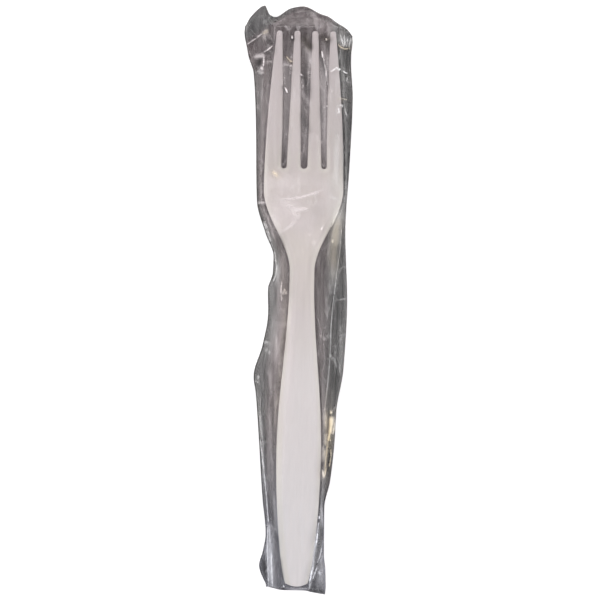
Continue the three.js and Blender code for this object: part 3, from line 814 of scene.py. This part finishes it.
def fork_top(s, x):
    """The face, less a soft bevel along every edge and the rounding of the edge itself."""
    share = handle_share(s)
    wide = mix(EDGE_WIDTH, BEVEL_WIDTH, share)
    short = wide - side_distance(s, x)
    ramp = (short + np.hypot(short, BEVEL_SOFTNESS)) / (2 * wide)
    drop = mix(EDGE_DROP, BEVEL_DROP, share) * ramp
    radius = mix(TIP_ROUND, EDGE_ROUND, ease(s, 0, TINE_LENGTH))
    return fork_face(s, x) - drop - rounding(edge_distance(s, x), radius)


def fork_under(s, x):
    """The underside with rounded edges, hollowed by the handle's channel inside its rims."""
    distance = edge_distance(s, x)
    start = HANDLE + CHANNEL_BEHIND_NECK
    end = FORK_LENGTH - CHANNEL_END_WALL
    along = ease(s, start, start + CHANNEL_RAMP) * (1 - ease(s, end - CHANNEL_END_RAMP, end))
    inside = ease(distance, CHANNEL_RIM, CHANNEL_RIM + CHANNEL_DRAFT)
    channel = np.maximum(0, depth(s) - PANEL_WALL) * along * inside
    return FORK_REST + underside(s) + bowed(s, x) + channel + rounding(distance, UNDER_ROUND)


# Meshes

FORK_LOW, FORK_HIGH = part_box("fork")
MIDDLE_X = (FORK_LOW.x + FORK_HIGH.x) / 2
TIP_Y = FORK_HIGH.y
TABLE_Z = FORK_LOW.z - FORK_REST * MM


def place(x, s, z):
    """Points of the frame, in metres, from distance, station and height in millimetres."""
    return np.stack([MIDDLE_X + x * MM, TIP_Y - s * MM, TABLE_Z + z * MM], axis=-1)


def grid_faces(index, turned=False):
    """Four-cornered faces between the neighbouring rows and columns of a grid of vertex numbers."""
    corners = [index[:-1, :-1], index[1:, :-1], index[1:, 1:], index[:-1, 1:]]
    faces = np.stack(corners, axis=-1).reshape(-1, 4)
    return faces[:, ::-1] if turned else faces


def make_piece(name, points, faces, marks, material, sharp_angle):
    """One mesh object from points, four-cornered faces and a number per point for each mark."""
    mesh = bpy.data.meshes.new(name)
    mesh.vertices.add(len(points))
    mesh.vertices.foreach_set("co", points.astype(np.float32).ravel())
    mesh.loops.add(faces.size)
    mesh.loops.foreach_set("vertex_index", faces.astype(np.int32).ravel())
    mesh.polygons.add(len(faces))
    mesh.polygons.foreach_set("loop_start", np.arange(0, faces.size, 4, dtype=np.int32))
    mesh.update(calc_edges=True)
    for mark, values in marks.items():
        layer = mesh.attributes.new(mark, "FLOAT", "POINT")
        layer.data.foreach_set("value", values.astype(np.float32))
    mesh.shade_smooth()
    mesh.set_sharp_from_angle(angle=math.radians(sharp_angle))
    mesh.materials.append(material)
    piece = bpy.data.objects.new(name, mesh)
    bpy.context.scene.collection.objects.link(piece)
    return piece


def two_skins(shape, turned=False):
    """Faces round an upper and a lower grid of points, numbered one after the other: both skins with
    the walls along their sides, the wall along the first row, and the wall along the last one."""
    upper = np.arange(math.prod(shape)).reshape(shape)
    lower = upper + upper.size
    around = np.concatenate([
        grid_faces(upper, turned),
        grid_faces(lower, not turned),
        grid_faces(np.stack([lower[:, 0], upper[:, 0]], axis=1), turned),
        grid_faces(np.stack([upper[:, -1], lower[:, -1]], axis=1), turned),
    ])
    first = grid_faces(np.stack([lower[0], upper[0]]), turned)
    last = grid_faces(np.stack([upper[-1], lower[-1]]), turned)
    return around, first, last


def slab_points(s, x):
    """The top and then the underside of a piece of the fork, over a grid of stations and distances.
    Towards the handle's end its rows bend into arcs, by the square of the share of the half width."""
    arc = END_ARC * ease(s, FORK_LENGTH - END_ROUNDING, FORK_LENGTH) * (x / half_width(s)) ** 2
    skins = [np.stack([x, s - arc, height(s, x)], axis=-1) for height in (fork_top, fork_under)]
    return np.concatenate([skin.reshape(-1, 3) for skin in skins])


def fork_grids():
    """The grids of the four tines and of the body. Columns crowd towards every edge, as the cosine
    does, and rows crowd towards the tips, the slots' ends and the handle's end."""
    across = (1 - np.cos(np.linspace(0, math.pi, TINE_STEPS + 1))) / 2
    tine_rows = stretches(0, *TINE_ROWS)
    tines = []
    for k in range(4):
        middle, width = tine(k, tine_rows)
        half = width / 2 * np.sqrt(1 - tip_back(k, tine_rows) ** 2)
        edges = [middle - half, middle + half]
        for side, number in ((0, k - 1), (1, k)):
            if 0 <= number < 3:
                centre, gap = slot(number, tine_rows)
                share = np.minimum(1, into_slot_end(number, tine_rows) / slot(number, TINE_LENGTH)[1])
                rounded = centre + (1 - 2 * side) * gap * np.sqrt(1 - share**2)
                edges[side] = np.where(share > 0, rounded, edges[side])
        left, right = edges
        columns = mix(left[:, None], right[:, None], across[None, :])
        tines.append((np.broadcast_to(tine_rows[:, None], columns.shape), columns))
    root = np.concatenate([columns[-1, (1 if k else 0):] for k, (_, columns) in enumerate(tines)])
    body_rows = stretches(TINE_LENGTH, *BODY_ROWS)
    even = -np.cos(np.linspace(0, math.pi, len(root)))
    spread = ease(body_rows, TINE_LENGTH, SHOULDER)[:, None]
    columns = mix(root / half_width(TINE_LENGTH), even, spread) * half_width(body_rows)[:, None]
    body = (np.broadcast_to(body_rows[:, None], columns.shape), columns)
    return tines, body


def make_fork(material):
    """The fork: four tine slabs capped at their tips and a body slab capped at the handle's end,
    welded where they share points."""
    tines, body = fork_grids()
    points, faces = [], []
    count = 0
    for s, x in [*tines, body]:
        sides, first, last = two_skins(s.shape)
        cap = last if s is body[0] else first
        points.append(slab_points(s, x))
        faces.append(np.concatenate([sides, cap]) + count)
        count += len(points[-1])
    points, number = np.unique(np.concatenate(points).round(5), axis=0, return_inverse=True)
    faces = number.reshape(-1)[np.concatenate(faces)]
    x, s, z = points.T
    distance = side_distance(s, x)

    def beside_edge(width):
        return 1 - ease(distance, RIM_CORE * width, width)

    # Painted highlight: pale cream along the rims of the head and, on the handle, along the left bevel
    edge_highlight = RIM_HIGHLIGHT * beside_edge(EDGE_WIDTH) * ease(s, TINE_LENGTH - RIM_FADE, TINE_LENGTH)
    on_left = ease(-x, 0, LEFT_BEVEL_HIGHLIGHT_SIDE) * ease(s, GRIP - LEFT_BEVEL_HIGHLIGHT_RUN, GRIP)
    marks = {
        "panel": ease(s, STIPPLE_START, STIPPLE_START + STIPPLE_FADE) * ease(distance, *PANEL_EDGE),
        "grip": ease(s, NECK, STIPPLE_START),
        "edge_highlight": np.maximum(edge_highlight, LEFT_BEVEL_HIGHLIGHT * beside_edge(BEVEL_WIDTH) * on_left),
        # Darker towards the tips of the tines
        "towards_tips": 1 - ease(s, 0, SHOULDER),
    }
    return make_piece("fork_moulding", place(x, s, z), faces, marks, material, sharp_angle=50)


# The film's form

left_reach, right_reach, seam_reach = map(smooth_curve, (FILM_LEFT, FILM_RIGHT, SEAM_REACH))
tip_overhang, handle_overhang = map(smooth_curve, (TIP_END_EDGE, HANDLE_END_EDGE))


def fold_reach(reach, s):
    """Reach of a fold: its curve, but never closer to the fork than the side clearance."""
    return np.maximum(reach(s), half_width(s) + SIDE_CLEARANCE)


def tip_edge(x):
    """Station of the sealed edge at the tip end."""
    return -tip_overhang(x)


def handle_edge(x):
    """Station of the sealed edge at the handle end."""
    return FORK_LENGTH + handle_overhang(x)


def margin_share(s, x):
    """Where a point lies across the margin: 0 at the fork's edge and 1 at the fold."""
    start = half_width(s) + EDGE_CLEARANCE
    fold = np.where(x < 0, fold_reach(left_reach, s), fold_reach(right_reach, s))
    return np.clip((np.abs(x) - start) / (fold - start), 0, 1)


def beyond_bend(s, x):
    """How far a point lies beyond the corner's bend line, towards the corner."""
    (x0, s0), (x1, s1) = CORNER_BEND
    across = (x - x0) * (s1 - s0) - (s - s0) * (x1 - x0)
    return np.maximum(0, across / math.hypot(x1 - x0, s1 - s0))


def ply_pitch(s, x):
    """Spacing of the plies: their resting gap, closing to a weld at both sealed ends."""
    from_tip, from_end = s - tip_edge(x), handle_edge(x) - s
    inside = ease(from_tip, WELD_REACH, SEAL_RUN) * ease(from_end, WELD_REACH, SEAL_RUN)
    return mix(SEALED_PITCH, PLY_PITCH, inside)


def back_height(s, x):
    """Middle of the back ply: flat under the fork, lifted at the folds, raised into a rippled fin at
    the tip end, with slight folds all over."""
    fin = ease(-s, -FIN_START, TIP_CLEARANCE)
    lift = EDGE_LIFT * margin_share(s, x) ** 2
    ripple = FIN_RIPPLE * (1 + np.sin(2 * math.pi * x / RIPPLE_LENGTH)) * fin * fin
    corner = CORNER_LIFT * beyond_bend(s, x)
    crumple = BACK_CRUMPLE_HEIGHT * folds(s, x, CRUMPLE_LENGTH, CRUMPLE_WIDTH, BACK_CRUMPLE_SEED)
    return FILM_WALL / 2 + FIN_RISE * fin + lift + ripple + corner + crumple


def open_share(s, x):
    """How far the sleeve stands open: 0 at its sealed ends and 1 along the fork."""
    tip, end = tip_edge(x), handle_edge(x)
    tip_open = np.maximum(-TIP_CLEARANCE, tip + 2 * SEAL_WIDTH)
    tip_shut = np.maximum(tip + SEAL_WIDTH, tip_open - CLOSING_RUN)
    end_open = np.minimum(FORK_LENGTH + END_CLEARANCE, end - 2 * SEAL_WIDTH)
    end_shut = np.minimum(end - SEAL_WIDTH, end_open + CLOSING_RUN)
    return ease(s, tip_shut, tip_open) * (1 - ease(s, end_open, end_shut))


def slot_sag(s, x):
    """How far the film sinks between the tines: a parabola across each slot."""
    inside = []
    for k in range(3):
        middle, half = slot(k, np.clip(s, 0, TINE_LENGTH))
        inside.append(np.maximum(0, 1 - ((x - middle) / half) ** 2))
    along = ease(s, SAG_START, SAG_RUN) * (1 - ease(s, TINE_LENGTH - SAG_RUN, TINE_LENGTH))
    return SLOT_SAG * np.max(inside, axis=0) * along


def crease_height(s, x):
    """The creases together: each a tent over its line, highest on the line."""
    total = np.zeros(np.shape(x))
    for kind, lines in CREASES.items():
        height, width = RIDGES[kind]
        for points in lines:
            away, _ = line_place(s, x, points)
            total += height * np.maximum(0, 1 - away / width)
    return total


def front_height(s, x):
    """Middle of the front ply: over the fork, down across the margins to the folds, with the placed
    creases and a fine crumple that is strongest in the margins."""
    shut = back_height(s, x) + 2 * ply_pitch(s, x)
    bowl = ease(s, 0, TINE_LENGTH) * (1 - ease(s, TINE_LENGTH, NECK))
    over = fork_face(s, x) + FORK_CLEARANCE + FILM_WALL / 2 + BOWL_BRIDGE * bowl
    share = margin_share(s, x)
    fall = (1 - share) ** MARGIN_FALL
    crumple = folds(s, x, CRUMPLE_LENGTH, CRUMPLE_WIDTH, CRUMPLE_SEED)
    slack = mix(TIGHT_SLACK, 1, np.sin(math.pi * np.sqrt(share)))
    drape = fall * np.maximum(0, over - shut) - slot_sag(s, x)
    return shut + open_share(s, x) * (drape + crease_height(s, x) + CRUMPLE_HEIGHT * slack * crumple)


def film_rows():
    """The sleeve's rows, each as shares of the tip edge and of the handle edge and a plain station,
    so that the rows near both ends follow those edges."""
    to_zone = stretches(0, *TIP_ZONE_ROWS)
    along = stretches(TIP_ZONE, *FILM_ROWS)
    to_end = stretches(0, *END_ZONE_ROWS)
    none = np.zeros
    tip_part = np.concatenate([1 - to_zone, none(len(along) - 1), none(len(to_end) - 1)])
    end_part = np.concatenate([none(len(to_zone)), none(len(along) - 1), to_end[1:]])
    plain = np.concatenate([to_zone * TIP_ZONE, along[1:], (1 - to_end[1:]) * (FORK_LENGTH - END_ZONE)])
    return tip_part[:, None], end_part[:, None], plain[:, None]


def front_columns(middle, right, left):
    """Distances across the front ply: even steps over the head, and beside the handle more of the
    columns in the two margins, where the creases are."""
    beside = half_width(middle) + EDGE_CLEARANCE
    crowded = MARGIN_COLUMNS * ease(middle, SHOULDER, HANDLE)
    even = lambda width: width / (right - left)
    right_part = np.maximum(even(right - beside), crowded)
    left_part = np.maximum(even(-beside - left), crowded)
    t = np.linspace(0, 1, FRONT_STEPS + 1)[None, :]
    over = mix(beside, -beside, (t - right_part) / (1 - right_part - left_part))
    return np.where(
        t < right_part, mix(right, beside, t / right_part),
        np.where(t > 1 - left_part, mix(left, -beside, (1 - t) / left_part), over),
    )


def film_section():
    """The turn of film at every row: from the seam's inner edge round the right fold, over the fork,
    round the left fold and back under the fork to the seam's outer edge. Folds are half circles.
    Returns distance, station and height, and a number that is 0 on the front and 1 on the back."""
    tip_part, end_part, plain = film_rows()

    def station(x):
        return tip_part * tip_edge(x) + end_part * handle_edge(x) + plain

    middle = station(np.zeros_like(plain))
    right = fold_reach(right_reach, station(fold_reach(right_reach, middle))) - PLY_PITCH / 2
    left = PLY_PITCH - fold_reach(left_reach, station(-fold_reach(left_reach, middle)))
    clear = half_width(station(right)) + EDGE_CLEARANCE
    seam = np.maximum(right - seam_reach(station(right)), np.minimum(clear, right - LAP_INSET))

    def columns(start, end, steps):
        return mix(start, end, np.linspace(0, 1, steps + 1)[None, :])

    def fold(x, first, last, plies):
        turn = np.linspace(first, last, FOLD_STEPS + 2)[None, 1:-1] * math.pi
        pitch = ply_pitch(station(x), x)
        radius = plies * pitch / 2
        bottom = back_height(station(x), x) + (2 - plies) * pitch
        across = x + np.sign(x) * radius * np.sin(turn)
        return across, station(x) + 0 * turn, bottom + radius * (1 - np.cos(turn))

    inner = columns(seam, right, INNER_STEPS)
    front = front_columns(middle, right, left)
    back = columns(left, right + PLY_PITCH / 2 - LAP_INSET, BACK_STEPS)
    inner_s, front_s, back_s = station(inner), station(front), station(back)
    parts = [
        (inner, inner_s, back_height(inner_s, inner) + ply_pitch(inner_s, inner), 1),
        (*fold(right, 0, 1, 1), 0.5),
        (front, front_s, front_height(front_s, front), 0),
        (*fold(left, 1, 0, 2), 0.5),
        (back, back_s, back_height(back_s, back), 1),
    ]
    x, s, z = (np.concatenate([part[i] for part in parts], axis=1) for i in range(3))
    ply = np.concatenate([np.full(part[0].shape, part[3], float) for part in parts], axis=1)
    return x, s, z, ply


def sheet_points(x, s, z, wall):
    """Both faces of a sheet: each point of the middle surface moved half the wall along the normal,
    which is the cross product of the steps across and along."""
    middle = place(x, s, z)
    along, across = np.gradient(middle, axis=0), np.gradient(middle, axis=1)
    normal = np.cross(across, along)
    normal /= np.linalg.norm(normal, axis=-1, keepdims=True)
    return middle + normal * wall / 2, middle - normal * wall / 2


def band_mark(s, x, bands):
    """The strongest of some bands: each a bell across its line, and a long one fades towards its
    ends."""
    strongest = np.zeros(np.shape(x))
    for amount, wide, points in bands:
        away, share = line_place(s, x, points)
        length = sum(math.dist(*pair) for pair in zip(points, points[1:]))
        end = mix(1, BAND_END, ease(length, *LONG_BAND))
        fade = mix(end, 1, ease(np.minimum(share, 1 - share), 0, BAND_FADE))
        strongest = np.maximum(strongest, amount * fade * np.exp(-(away / wide) ** 2))
    return strongest


def line_mark(s, x, kind):
    """1 on the creases of one kind, falling evenly to 0 at the line reach, which shrinks towards both
    ends of a crease as an ellipse does."""
    nearest = np.zeros(np.shape(x))
    for points in CREASES[kind]:
        away, share = line_place(s, x, points)
        taper = mix(BLUNT_END, 1, np.sqrt(np.maximum(0, 1 - (2 * share - 1) ** 2)))
        nearest = np.maximum(nearest, 1 - away / (LINE_REACHES[kind] * taper))
    return nearest


def film_marks(s, x, ply):
    """A number per point for each mark of the film: which ply it is, its bands of scuff and painted
    highlight, painted shade and warm colour, its creases, haze and painted sheen, and the hue of its
    smoke."""
    front, back = ply == 0, ply == 1
    on_handle = handle_share(s)
    outward = margin_share(s, x)
    at_fold = front * ease(outward, *FOLD_EDGE) * np.where(x < 0, 1, on_handle)
    on_fork = ease(half_width(s) - np.abs(x), -FORK_BORDER, FORK_BORDER)
    pressed = front * on_fork * ease(s, *PRESSED_START)
    fine_folds = folds(s, x, CRUMPLE_LENGTH, CRUMPLE_WIDTH, CRUMPLE_SEED)
    fine_fold_sheen = OVER_FORK_SHEEN * mix(1, HANDLE_SHEEN, on_handle)
    painted_sheen = fine_fold_sheen * fine_folds + patches(s, x, SHEEN_ZONES)
    shade = band_mark(s, x, FOLD_AND_SHADE_BANDS)
    dim = np.minimum(1, shade + patches(s, x, PAINTED_SHADE_ZONES))
    grey_left = ease(outward, *GREY_LEFT) * mix(GREY_BESIDE_HEAD, 1, on_handle) * ease(s, *GREY_FROM_TIP)
    sides = [x > MAUVE_HALF_WIDTH, x < -MAUVE_HALF_WIDTH]
    grey = np.select(sides, [ease(x, *GREY_RIGHT), grey_left], 0)
    return {
        "ply": np.where(front, 0, 1),
        "haze_and_sheen": patches(s, x, HAZE_AND_SHEEN_ZONES) * back,
        "scuff_and_highlight": band_mark(s, x, SCUFF_AND_HIGHLIGHT_BANDS) * front + FOLD_PALENESS * at_fold + pressed * painted_sheen,
        "warm": band_mark(s, x, WARM_BANDS),
        "shade": np.where(front, FRONT_SHADE * shade, dim),
        "tone": grey + ease(beyond_bend(s, x), 0, GREY_BEYOND_BEND),
        "chill": ease(s, *BLUE_RUN),
        "loose": 1 - pressed * mix(HEAD_PRESSED, HANDLE_PRESSED, on_handle),
        **{kind: line_mark(s, x, kind) * front for kind in CREASES},
    }


def make_film(material):
    """The sleeve: outer and inner faces of the film, joined along its four cut edges."""
    x, s, z, ply = film_section()
    points = np.concatenate([skin.reshape(-1, 3) for skin in sheet_points(x, s, z, FILM_WALL * MM)])
    faces = np.concatenate(two_skins(x.shape, turned=True))
    marks = {name: np.tile(values.ravel(), 2) for name, values in film_marks(s, x, ply).items()}
    return make_piece("film_sleeve", points, faces, marks, material, sharp_angle=60)


# Materials

# How patterns that run along the fork are drawn out
DRAWN_OUT = (1, 0.06, 1)


def linear(hex_colour):
    """A linear colour from an sRGB hex value."""
    channels = np.array([int(hex_colour[i:i + 2], 16) for i in (1, 3, 5)]) / 255
    flat = channels / 12.92
    curved = ((channels + 0.055) / 1.055) ** 2.4
    return (*np.where(channels <= 0.04045, flat, curved).tolist(), 1)


def add(tree, kind, inputs=None, out=0, **settings):
    """Adds one node with its settings, fills its inputs with values or links, and returns an output."""
    made = tree.nodes.new(kind)
    for name, value in settings.items():
        setattr(made, name, value)
    for name, value in (inputs or {}).items():
        if isinstance(value, bpy.types.NodeSocket):
            tree.links.new(value, made.inputs[name])
        else:
            made.inputs[name].default_value = value
    return made.outputs[out] if made.outputs else None


def new_material(name):
    """An empty node material and its tree."""
    material = bpy.data.materials.new(name)
    material.use_nodes = True
    material.node_tree.nodes.clear()
    return material, material.node_tree


def per_mm(size):
    """The scale of a pattern on Object coordinates, in metres, whose features are this many mm."""
    return 1 / (size * MM)


def moulded_polypropylene():
    """Injection-moulded polypropylene, off-white: a satin skin with a soft glow in its edges, faint
    flow marks along the moulding, clouds of warmer white, a painted highlight in pale cream along the
    rims and the left bevel, and a stippled panel on the grip that scatters more light."""
    material, tree = new_material("moulded_polypropylene")
    where = add(tree, "ShaderNodeTexCoord", out="Object")
    panel, edge_highlight, towards_tips, grip = (
        add(tree, "ShaderNodeAttribute", out="Fac", attribute_name=name)
        for name in ("panel", "edge_highlight", "towards_tips", "grip")
    )
    along = add(tree, "ShaderNodeMapping", {"Vector": where, "Scale": DRAWN_OUT})
    flow = add(tree, "ShaderNodeTexNoise", {"Vector": along, "Scale": per_mm(0.9), "Detail": 3})
    flow_value = add(tree, "ShaderNodeMapRange", {
        "Value": flow, "From Min": 0.3, "From Max": 0.7, "To Min": 0.985, "To Max": 1.015,
    })
    cloud = add(tree, "ShaderNodeTexNoise", {"Vector": where, "Scale": per_mm(12), "Detail": 2})
    clouds = add(tree, "ShaderNodeMapRange", {"Value": cloud, "From Min": 0.35, "From Max": 0.65})

    # The skin's colour, which turns a share of the way to each of the others
    colour = linear("#c6c0be")
    # The last colour is the painted highlight along the rims and the left bevel
    for share, other in ((clouds, "#c4bfb9"), (towards_tips, "#c0b9b9"), (grip, "#d6d4d3"), (edge_highlight, "#d4d2c9")):
        colour = add(tree, "ShaderNodeMix", {
            0: share, 6: colour, 7: linear(other),
        }, out=2, data_type="RGBA")

    stipple = add(tree, "ShaderNodeTexNoise", {"Vector": where, "Scale": per_mm(0.7), "Detail": 2})
    relief = add(tree, "ShaderNodeMapRange", {"Value": panel, "To Min": 0.05, "To Max": 0.3})
    skin = add(tree, "ShaderNodeBsdfPrincipled", {
        "Base Color": add(tree, "ShaderNodeHueSaturation", {"Color": colour, "Value": flow_value}),
        "Roughness": add(tree, "ShaderNodeMapRange", {"Value": panel, "To Min": 0.36, "To Max": 0.5}),
        "IOR": 1.49,
        "Subsurface Weight": 0.12,
        "Subsurface Radius": (1, 0.9, 0.85),
        "Subsurface Scale": 1.2 * MM,
        "Normal": add(tree, "ShaderNodeBump", {
            "Strength": relief, "Distance": 0.05 * MM, "Height": stipple,
        }),
    })
    add(tree, "ShaderNodeOutputMaterial", {"Surface": skin})
    return material


def blown_polypropylene_film():
    """Thin blown polypropylene film: the front ply nearly clear, the doubled back ply smoky, both with a
    hard gloss, painted white glints and highlights along its kinks, and milky where it is scuffed. The
    smoke is mauve about the head, grey on the right and bluish at the handle's end. Painted shade
    darkens some folds, and painted cream reflections lie on a few crinkles."""
    material, tree = new_material("blown_polypropylene_film")
    where = add(tree, "ShaderNodeTexCoord", out="Object")
    marks = {
        name: add(tree, "ShaderNodeAttribute", out="Fac", attribute_name=name)
        for name in ("ply", "haze_and_sheen", "scuff_and_highlight", "shade", "warm", "tone", "chill", "loose", *CREASES)
    }

    # Patterns: facets and streaks drawn out along the fork, a mottle, and a net of hairlines, which
    # paint the film's patchy reflections into its smoke and veil
    along = add(tree, "ShaderNodeMapping", {"Vector": where, "Scale": DRAWN_OUT})
    facet = add(tree, "ShaderNodeTexVoronoi", {
        "Vector": along, "Scale": per_mm(1.8), "Smoothness": 0.8,
    }, out="Color", feature="SMOOTH_F1")
    streak = add(tree, "ShaderNodeTexNoise", {"Vector": along, "Scale": per_mm(1.2), "Detail": 4})
    streaks = add(tree, "ShaderNodeMapRange", {
        "Value": streak, "From Min": 0.4, "From Max": 0.75, "To Max": 0.05,
    })
    mottle_place = add(tree, "ShaderNodeMapping", {"Vector": where, "Scale": (1, 0.3, 1)})
    mottle = add(tree, "ShaderNodeTexNoise", {"Vector": mottle_place, "Scale": per_mm(1.8), "Detail": 4})
    warp = add(tree, "ShaderNodeTexNoise", {
        "Vector": where, "Scale": per_mm(4), "Detail": 2,
    }, out="Color")
    warped = add(tree, "ShaderNodeVectorMath", {
        0: warp, 1: (1.5 * MM, 4 * MM, 1.5 * MM), 2: where,
    }, operation="MULTIPLY_ADD")
    crackle_place = add(tree, "ShaderNodeMapping", {"Vector": warped, "Scale": (1, 0.35, 1)})
    crackle = add(tree, "ShaderNodeTexVoronoi", {
        "Vector": crackle_place, "Scale": per_mm(4),
    }, out="Distance", feature="DISTANCE_TO_EDGE")
    sparkle = add(tree, "ShaderNodeTexNoise", {"Vector": where, "Scale": per_mm(1.3), "Detail": 2})
    broken = add(tree, "ShaderNodeMapRange", {
        "Value": sparkle, "From Min": 0.35, "From Max": 0.6, "To Min": 0.3,
    })

    # Colours of what the film lets through, and of its veil and gloss; fold_and_shade is the dark tint
    # of the painted shade. Each turns from one colour to another by a share, and a word stands for a
    # colour further up.
    turns = {
        "mauve": (facet, "#837879", "#928a8c"),
        "grey": (facet, "#7e7c7a", "#8d8c8c"),
        "blue": (facet, "#7c7b85", "#8e8f99"),
        "toned": (marks["tone"], "mauve", "grey"),
        "smoke": (marks["chill"], "toned", "blue"),
        "plain": (marks["ply"], "#fbfafa", "smoke"),
        "fold_and_shade": (marks["warm"], "#625f63", "#76574d"),
        "tint": (marks["shade"], "plain", "fold_and_shade"),
        "pale": (marks["tone"], "#f4ecec", "#f0efee"),
        "gloss": (marks["chill"], "pale", "#edeef4"),
        "veil": (marks["warm"], "gloss", "#e4d3b2"),
    }
    colours = {}
    for name, (share, *ends) in turns.items():
        first, second = (colours[end] if end in colours else linear(end) for end in ends)
        colours[name] = add(tree, "ShaderNodeMix", {
            0: share, 6: first, 7: second,
        }, out=2, data_type="RGBA")

    # How much of it is a white veil: streaks, scuffs and painted highlights, haze and painted sheen,
    # hairlines, and the creases' painted glints
    patchy = add(tree, "ShaderNodeMapRange", {
        "Value": mottle, "From Min": 0.3, "From Max": 0.7, "To Min": 0.7, "To Max": 1.3,
    })
    hairline = add(tree, "ShaderNodeMapRange", {
        "Value": crackle, "From Max": 0.04, "To Min": 0.12, "To Max": 0,
    })
    worn = add(tree, "ShaderNodeMapRange", {"Value": mottle, "From Min": 0.42, "From Max": 0.62})
    loose = add(tree, "ShaderNodeMath", {0: worn, 1: marks["loose"]}, operation="MULTIPLY")
    veils = [(marks["haze_and_sheen"], patchy), (hairline, loose)]
    for kind, amount in LINE_HIGHLIGHTS.items():
        drawn = add(tree, "ShaderNodeMapRange", {
            "Value": marks[kind], "From Min": 0.55, "From Max": 0.92, "To Max": amount,
        }, interpolation_type="SMOOTHSTEP")
        veils.append((drawn, broken))
    share = add(tree, "ShaderNodeMath", {0: streaks, 1: marks["scuff_and_highlight"]}, operation="ADD")
    for amount, pattern in veils:
        share = add(tree, "ShaderNodeMath", {
            0: amount, 1: pattern, 2: share,
        }, operation="MULTIPLY_ADD", use_clamp=True)

    # The film itself, under a gloss that grows where it is seen edge on
    clear = add(tree, "ShaderNodeBsdfTransparent", {"Color": colours["tint"]})
    veil = add(tree, "ShaderNodeBsdfDiffuse", {"Color": colours["veil"]})
    body = add(tree, "ShaderNodeMixShader", {0: share, 1: clear, 2: veil})
    ripple = add(tree, "ShaderNodeTexNoise", {"Vector": where, "Scale": per_mm(3), "Detail": 3})
    bump = add(tree, "ShaderNodeBump", {"Strength": 0.25, "Distance": 0.15 * MM, "Height": ripple})
    gloss = add(tree, "ShaderNodeBsdfGlossy", {
        "Color": colours["gloss"], "Roughness": 0.12, "Normal": bump,
    })
    facing = add(tree, "ShaderNodeLayerWeight", {"Blend": 0.5, "Normal": bump}, out="Facing")
    edge_on = add(tree, "ShaderNodeMath", {0: facing, 1: 5}, operation="POWER")
    mirror = add(tree, "ShaderNodeMath", {0: edge_on, 1: 0.4, 2: 0.032}, operation="MULTIPLY_ADD")
    surface = add(tree, "ShaderNodeMixShader", {0: mirror, 1: body, 2: gloss})
    add(tree, "ShaderNodeOutputMaterial", {"Surface": surface})
    return material


def pale_floor():
    """The opal top of a light table: matt white with a weak light of its own."""
    material, tree = new_material("pale_floor")
    opal = add(tree, "ShaderNodeBsdfPrincipled", {
        "Base Color": linear("#f4f3f2"),
        "Roughness": 0.8,
        "Emission Color": (1, 1, 1, 1),
        "Emission Strength": 0.35,
    })
    add(tree, "ShaderNodeOutputMaterial", {"Surface": opal})
    return material


# The part

fork = make_fork(moulded_polypropylene())
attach(fork, "root")
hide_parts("fork")

film = make_film(blown_polypropylene_film())
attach(film, "root")
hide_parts("film_wrapper")


# Floor, light and camera

def make_floor(size, drop):
    """A square floor about the frame's origin, a little way under the part."""
    corners = np.array([[-1, -1, 0], [1, -1, 0], [1, 1, 0], [-1, 1, 0]]) * size / 2
    corners[:, 2] = -drop
    return make_piece("floor", corners, np.array([[0, 1, 2, 3]]), {}, pale_floor(), sharp_angle=30)


def add_softbox(name, power, size, azimuth, elevation, distance):
    """A rectangular lamp that faces the part from a direction, given as azimuth and elevation in
    degrees.
    """
    lamp = bpy.data.lights.new(name, "AREA")
    lamp.shape = "RECTANGLE"
    lamp.size, lamp.size_y = size
    lamp.energy = power
    softbox = bpy.data.objects.new(name, lamp)
    around, up = math.radians(azimuth), math.radians(elevation)
    softbox.location = (
        distance * math.sin(around) * math.cos(up),
        -distance * math.cos(around) * math.cos(up),
        distance * math.sin(up),
    )
    softbox.rotation_euler = (math.pi / 2 - up, 0, around)
    bpy.context.scene.collection.objects.link(softbox)


make_floor(size=8, drop=0.1 * MM)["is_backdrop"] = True

world = bpy.data.worlds.new("studio")
world.use_nodes = True
world.node_tree.nodes["Background"].inputs["Color"].default_value = linear("#f6f6f8")
world.node_tree.nodes["Background"].inputs["Strength"].default_value = 1
bpy.context.scene.world = world

add_softbox("key", power=7, size=(1.6, 1), azimuth=180, elevation=40, distance=1.6)
add_softbox("left_fill", power=3.5, size=(1.2, 1.2), azimuth=-100, elevation=45, distance=1.5)
add_softbox("right_fill", power=1.5, size=(1.2, 1.2), azimuth=90, elevation=45, distance=1.5)
add_softbox("left_strip", power=0.3, size=(0.012, 0.5), azimuth=-80, elevation=48, distance=1)
add_softbox("right_strip", power=0.3, size=(0.012, 0.5), azimuth=85, elevation=45, distance=1)
add_softbox("far_strip", power=0.3, size=(0.5, 0.012), azimuth=175, elevation=48, distance=1)

camera_data = bpy.data.cameras.new("camera")
camera_data.sensor_width = SENSOR_WIDTH
camera_data.lens = SENSOR_WIDTH * CAMERA_HEIGHT / (PICTURE_SPAN * MM)
camera = bpy.data.objects.new("camera", camera_data)
picture_middle = place(PICTURE_OFFSET, PICTURE_STATION, PICTURE_HEIGHT)
camera.location = (picture_middle[0], picture_middle[1], picture_middle[2] + CAMERA_HEIGHT)
camera.rotation_euler = (0, 0, PICTURE_LEAN)
bpy.context.scene.collection.objects.link(camera)
bpy.context.scene.camera = camera

# Many layers of film lie over one another, and colours are shown as they are
bpy.context.scene.cycles.transparent_max_bounces = 32
bpy.context.scene.view_settings.view_transform = "Standard"

boxes = {"cad": CAD_BOX, "visual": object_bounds()}
{name: [list(corner) for corner in box] for name, box in boxes.items()}
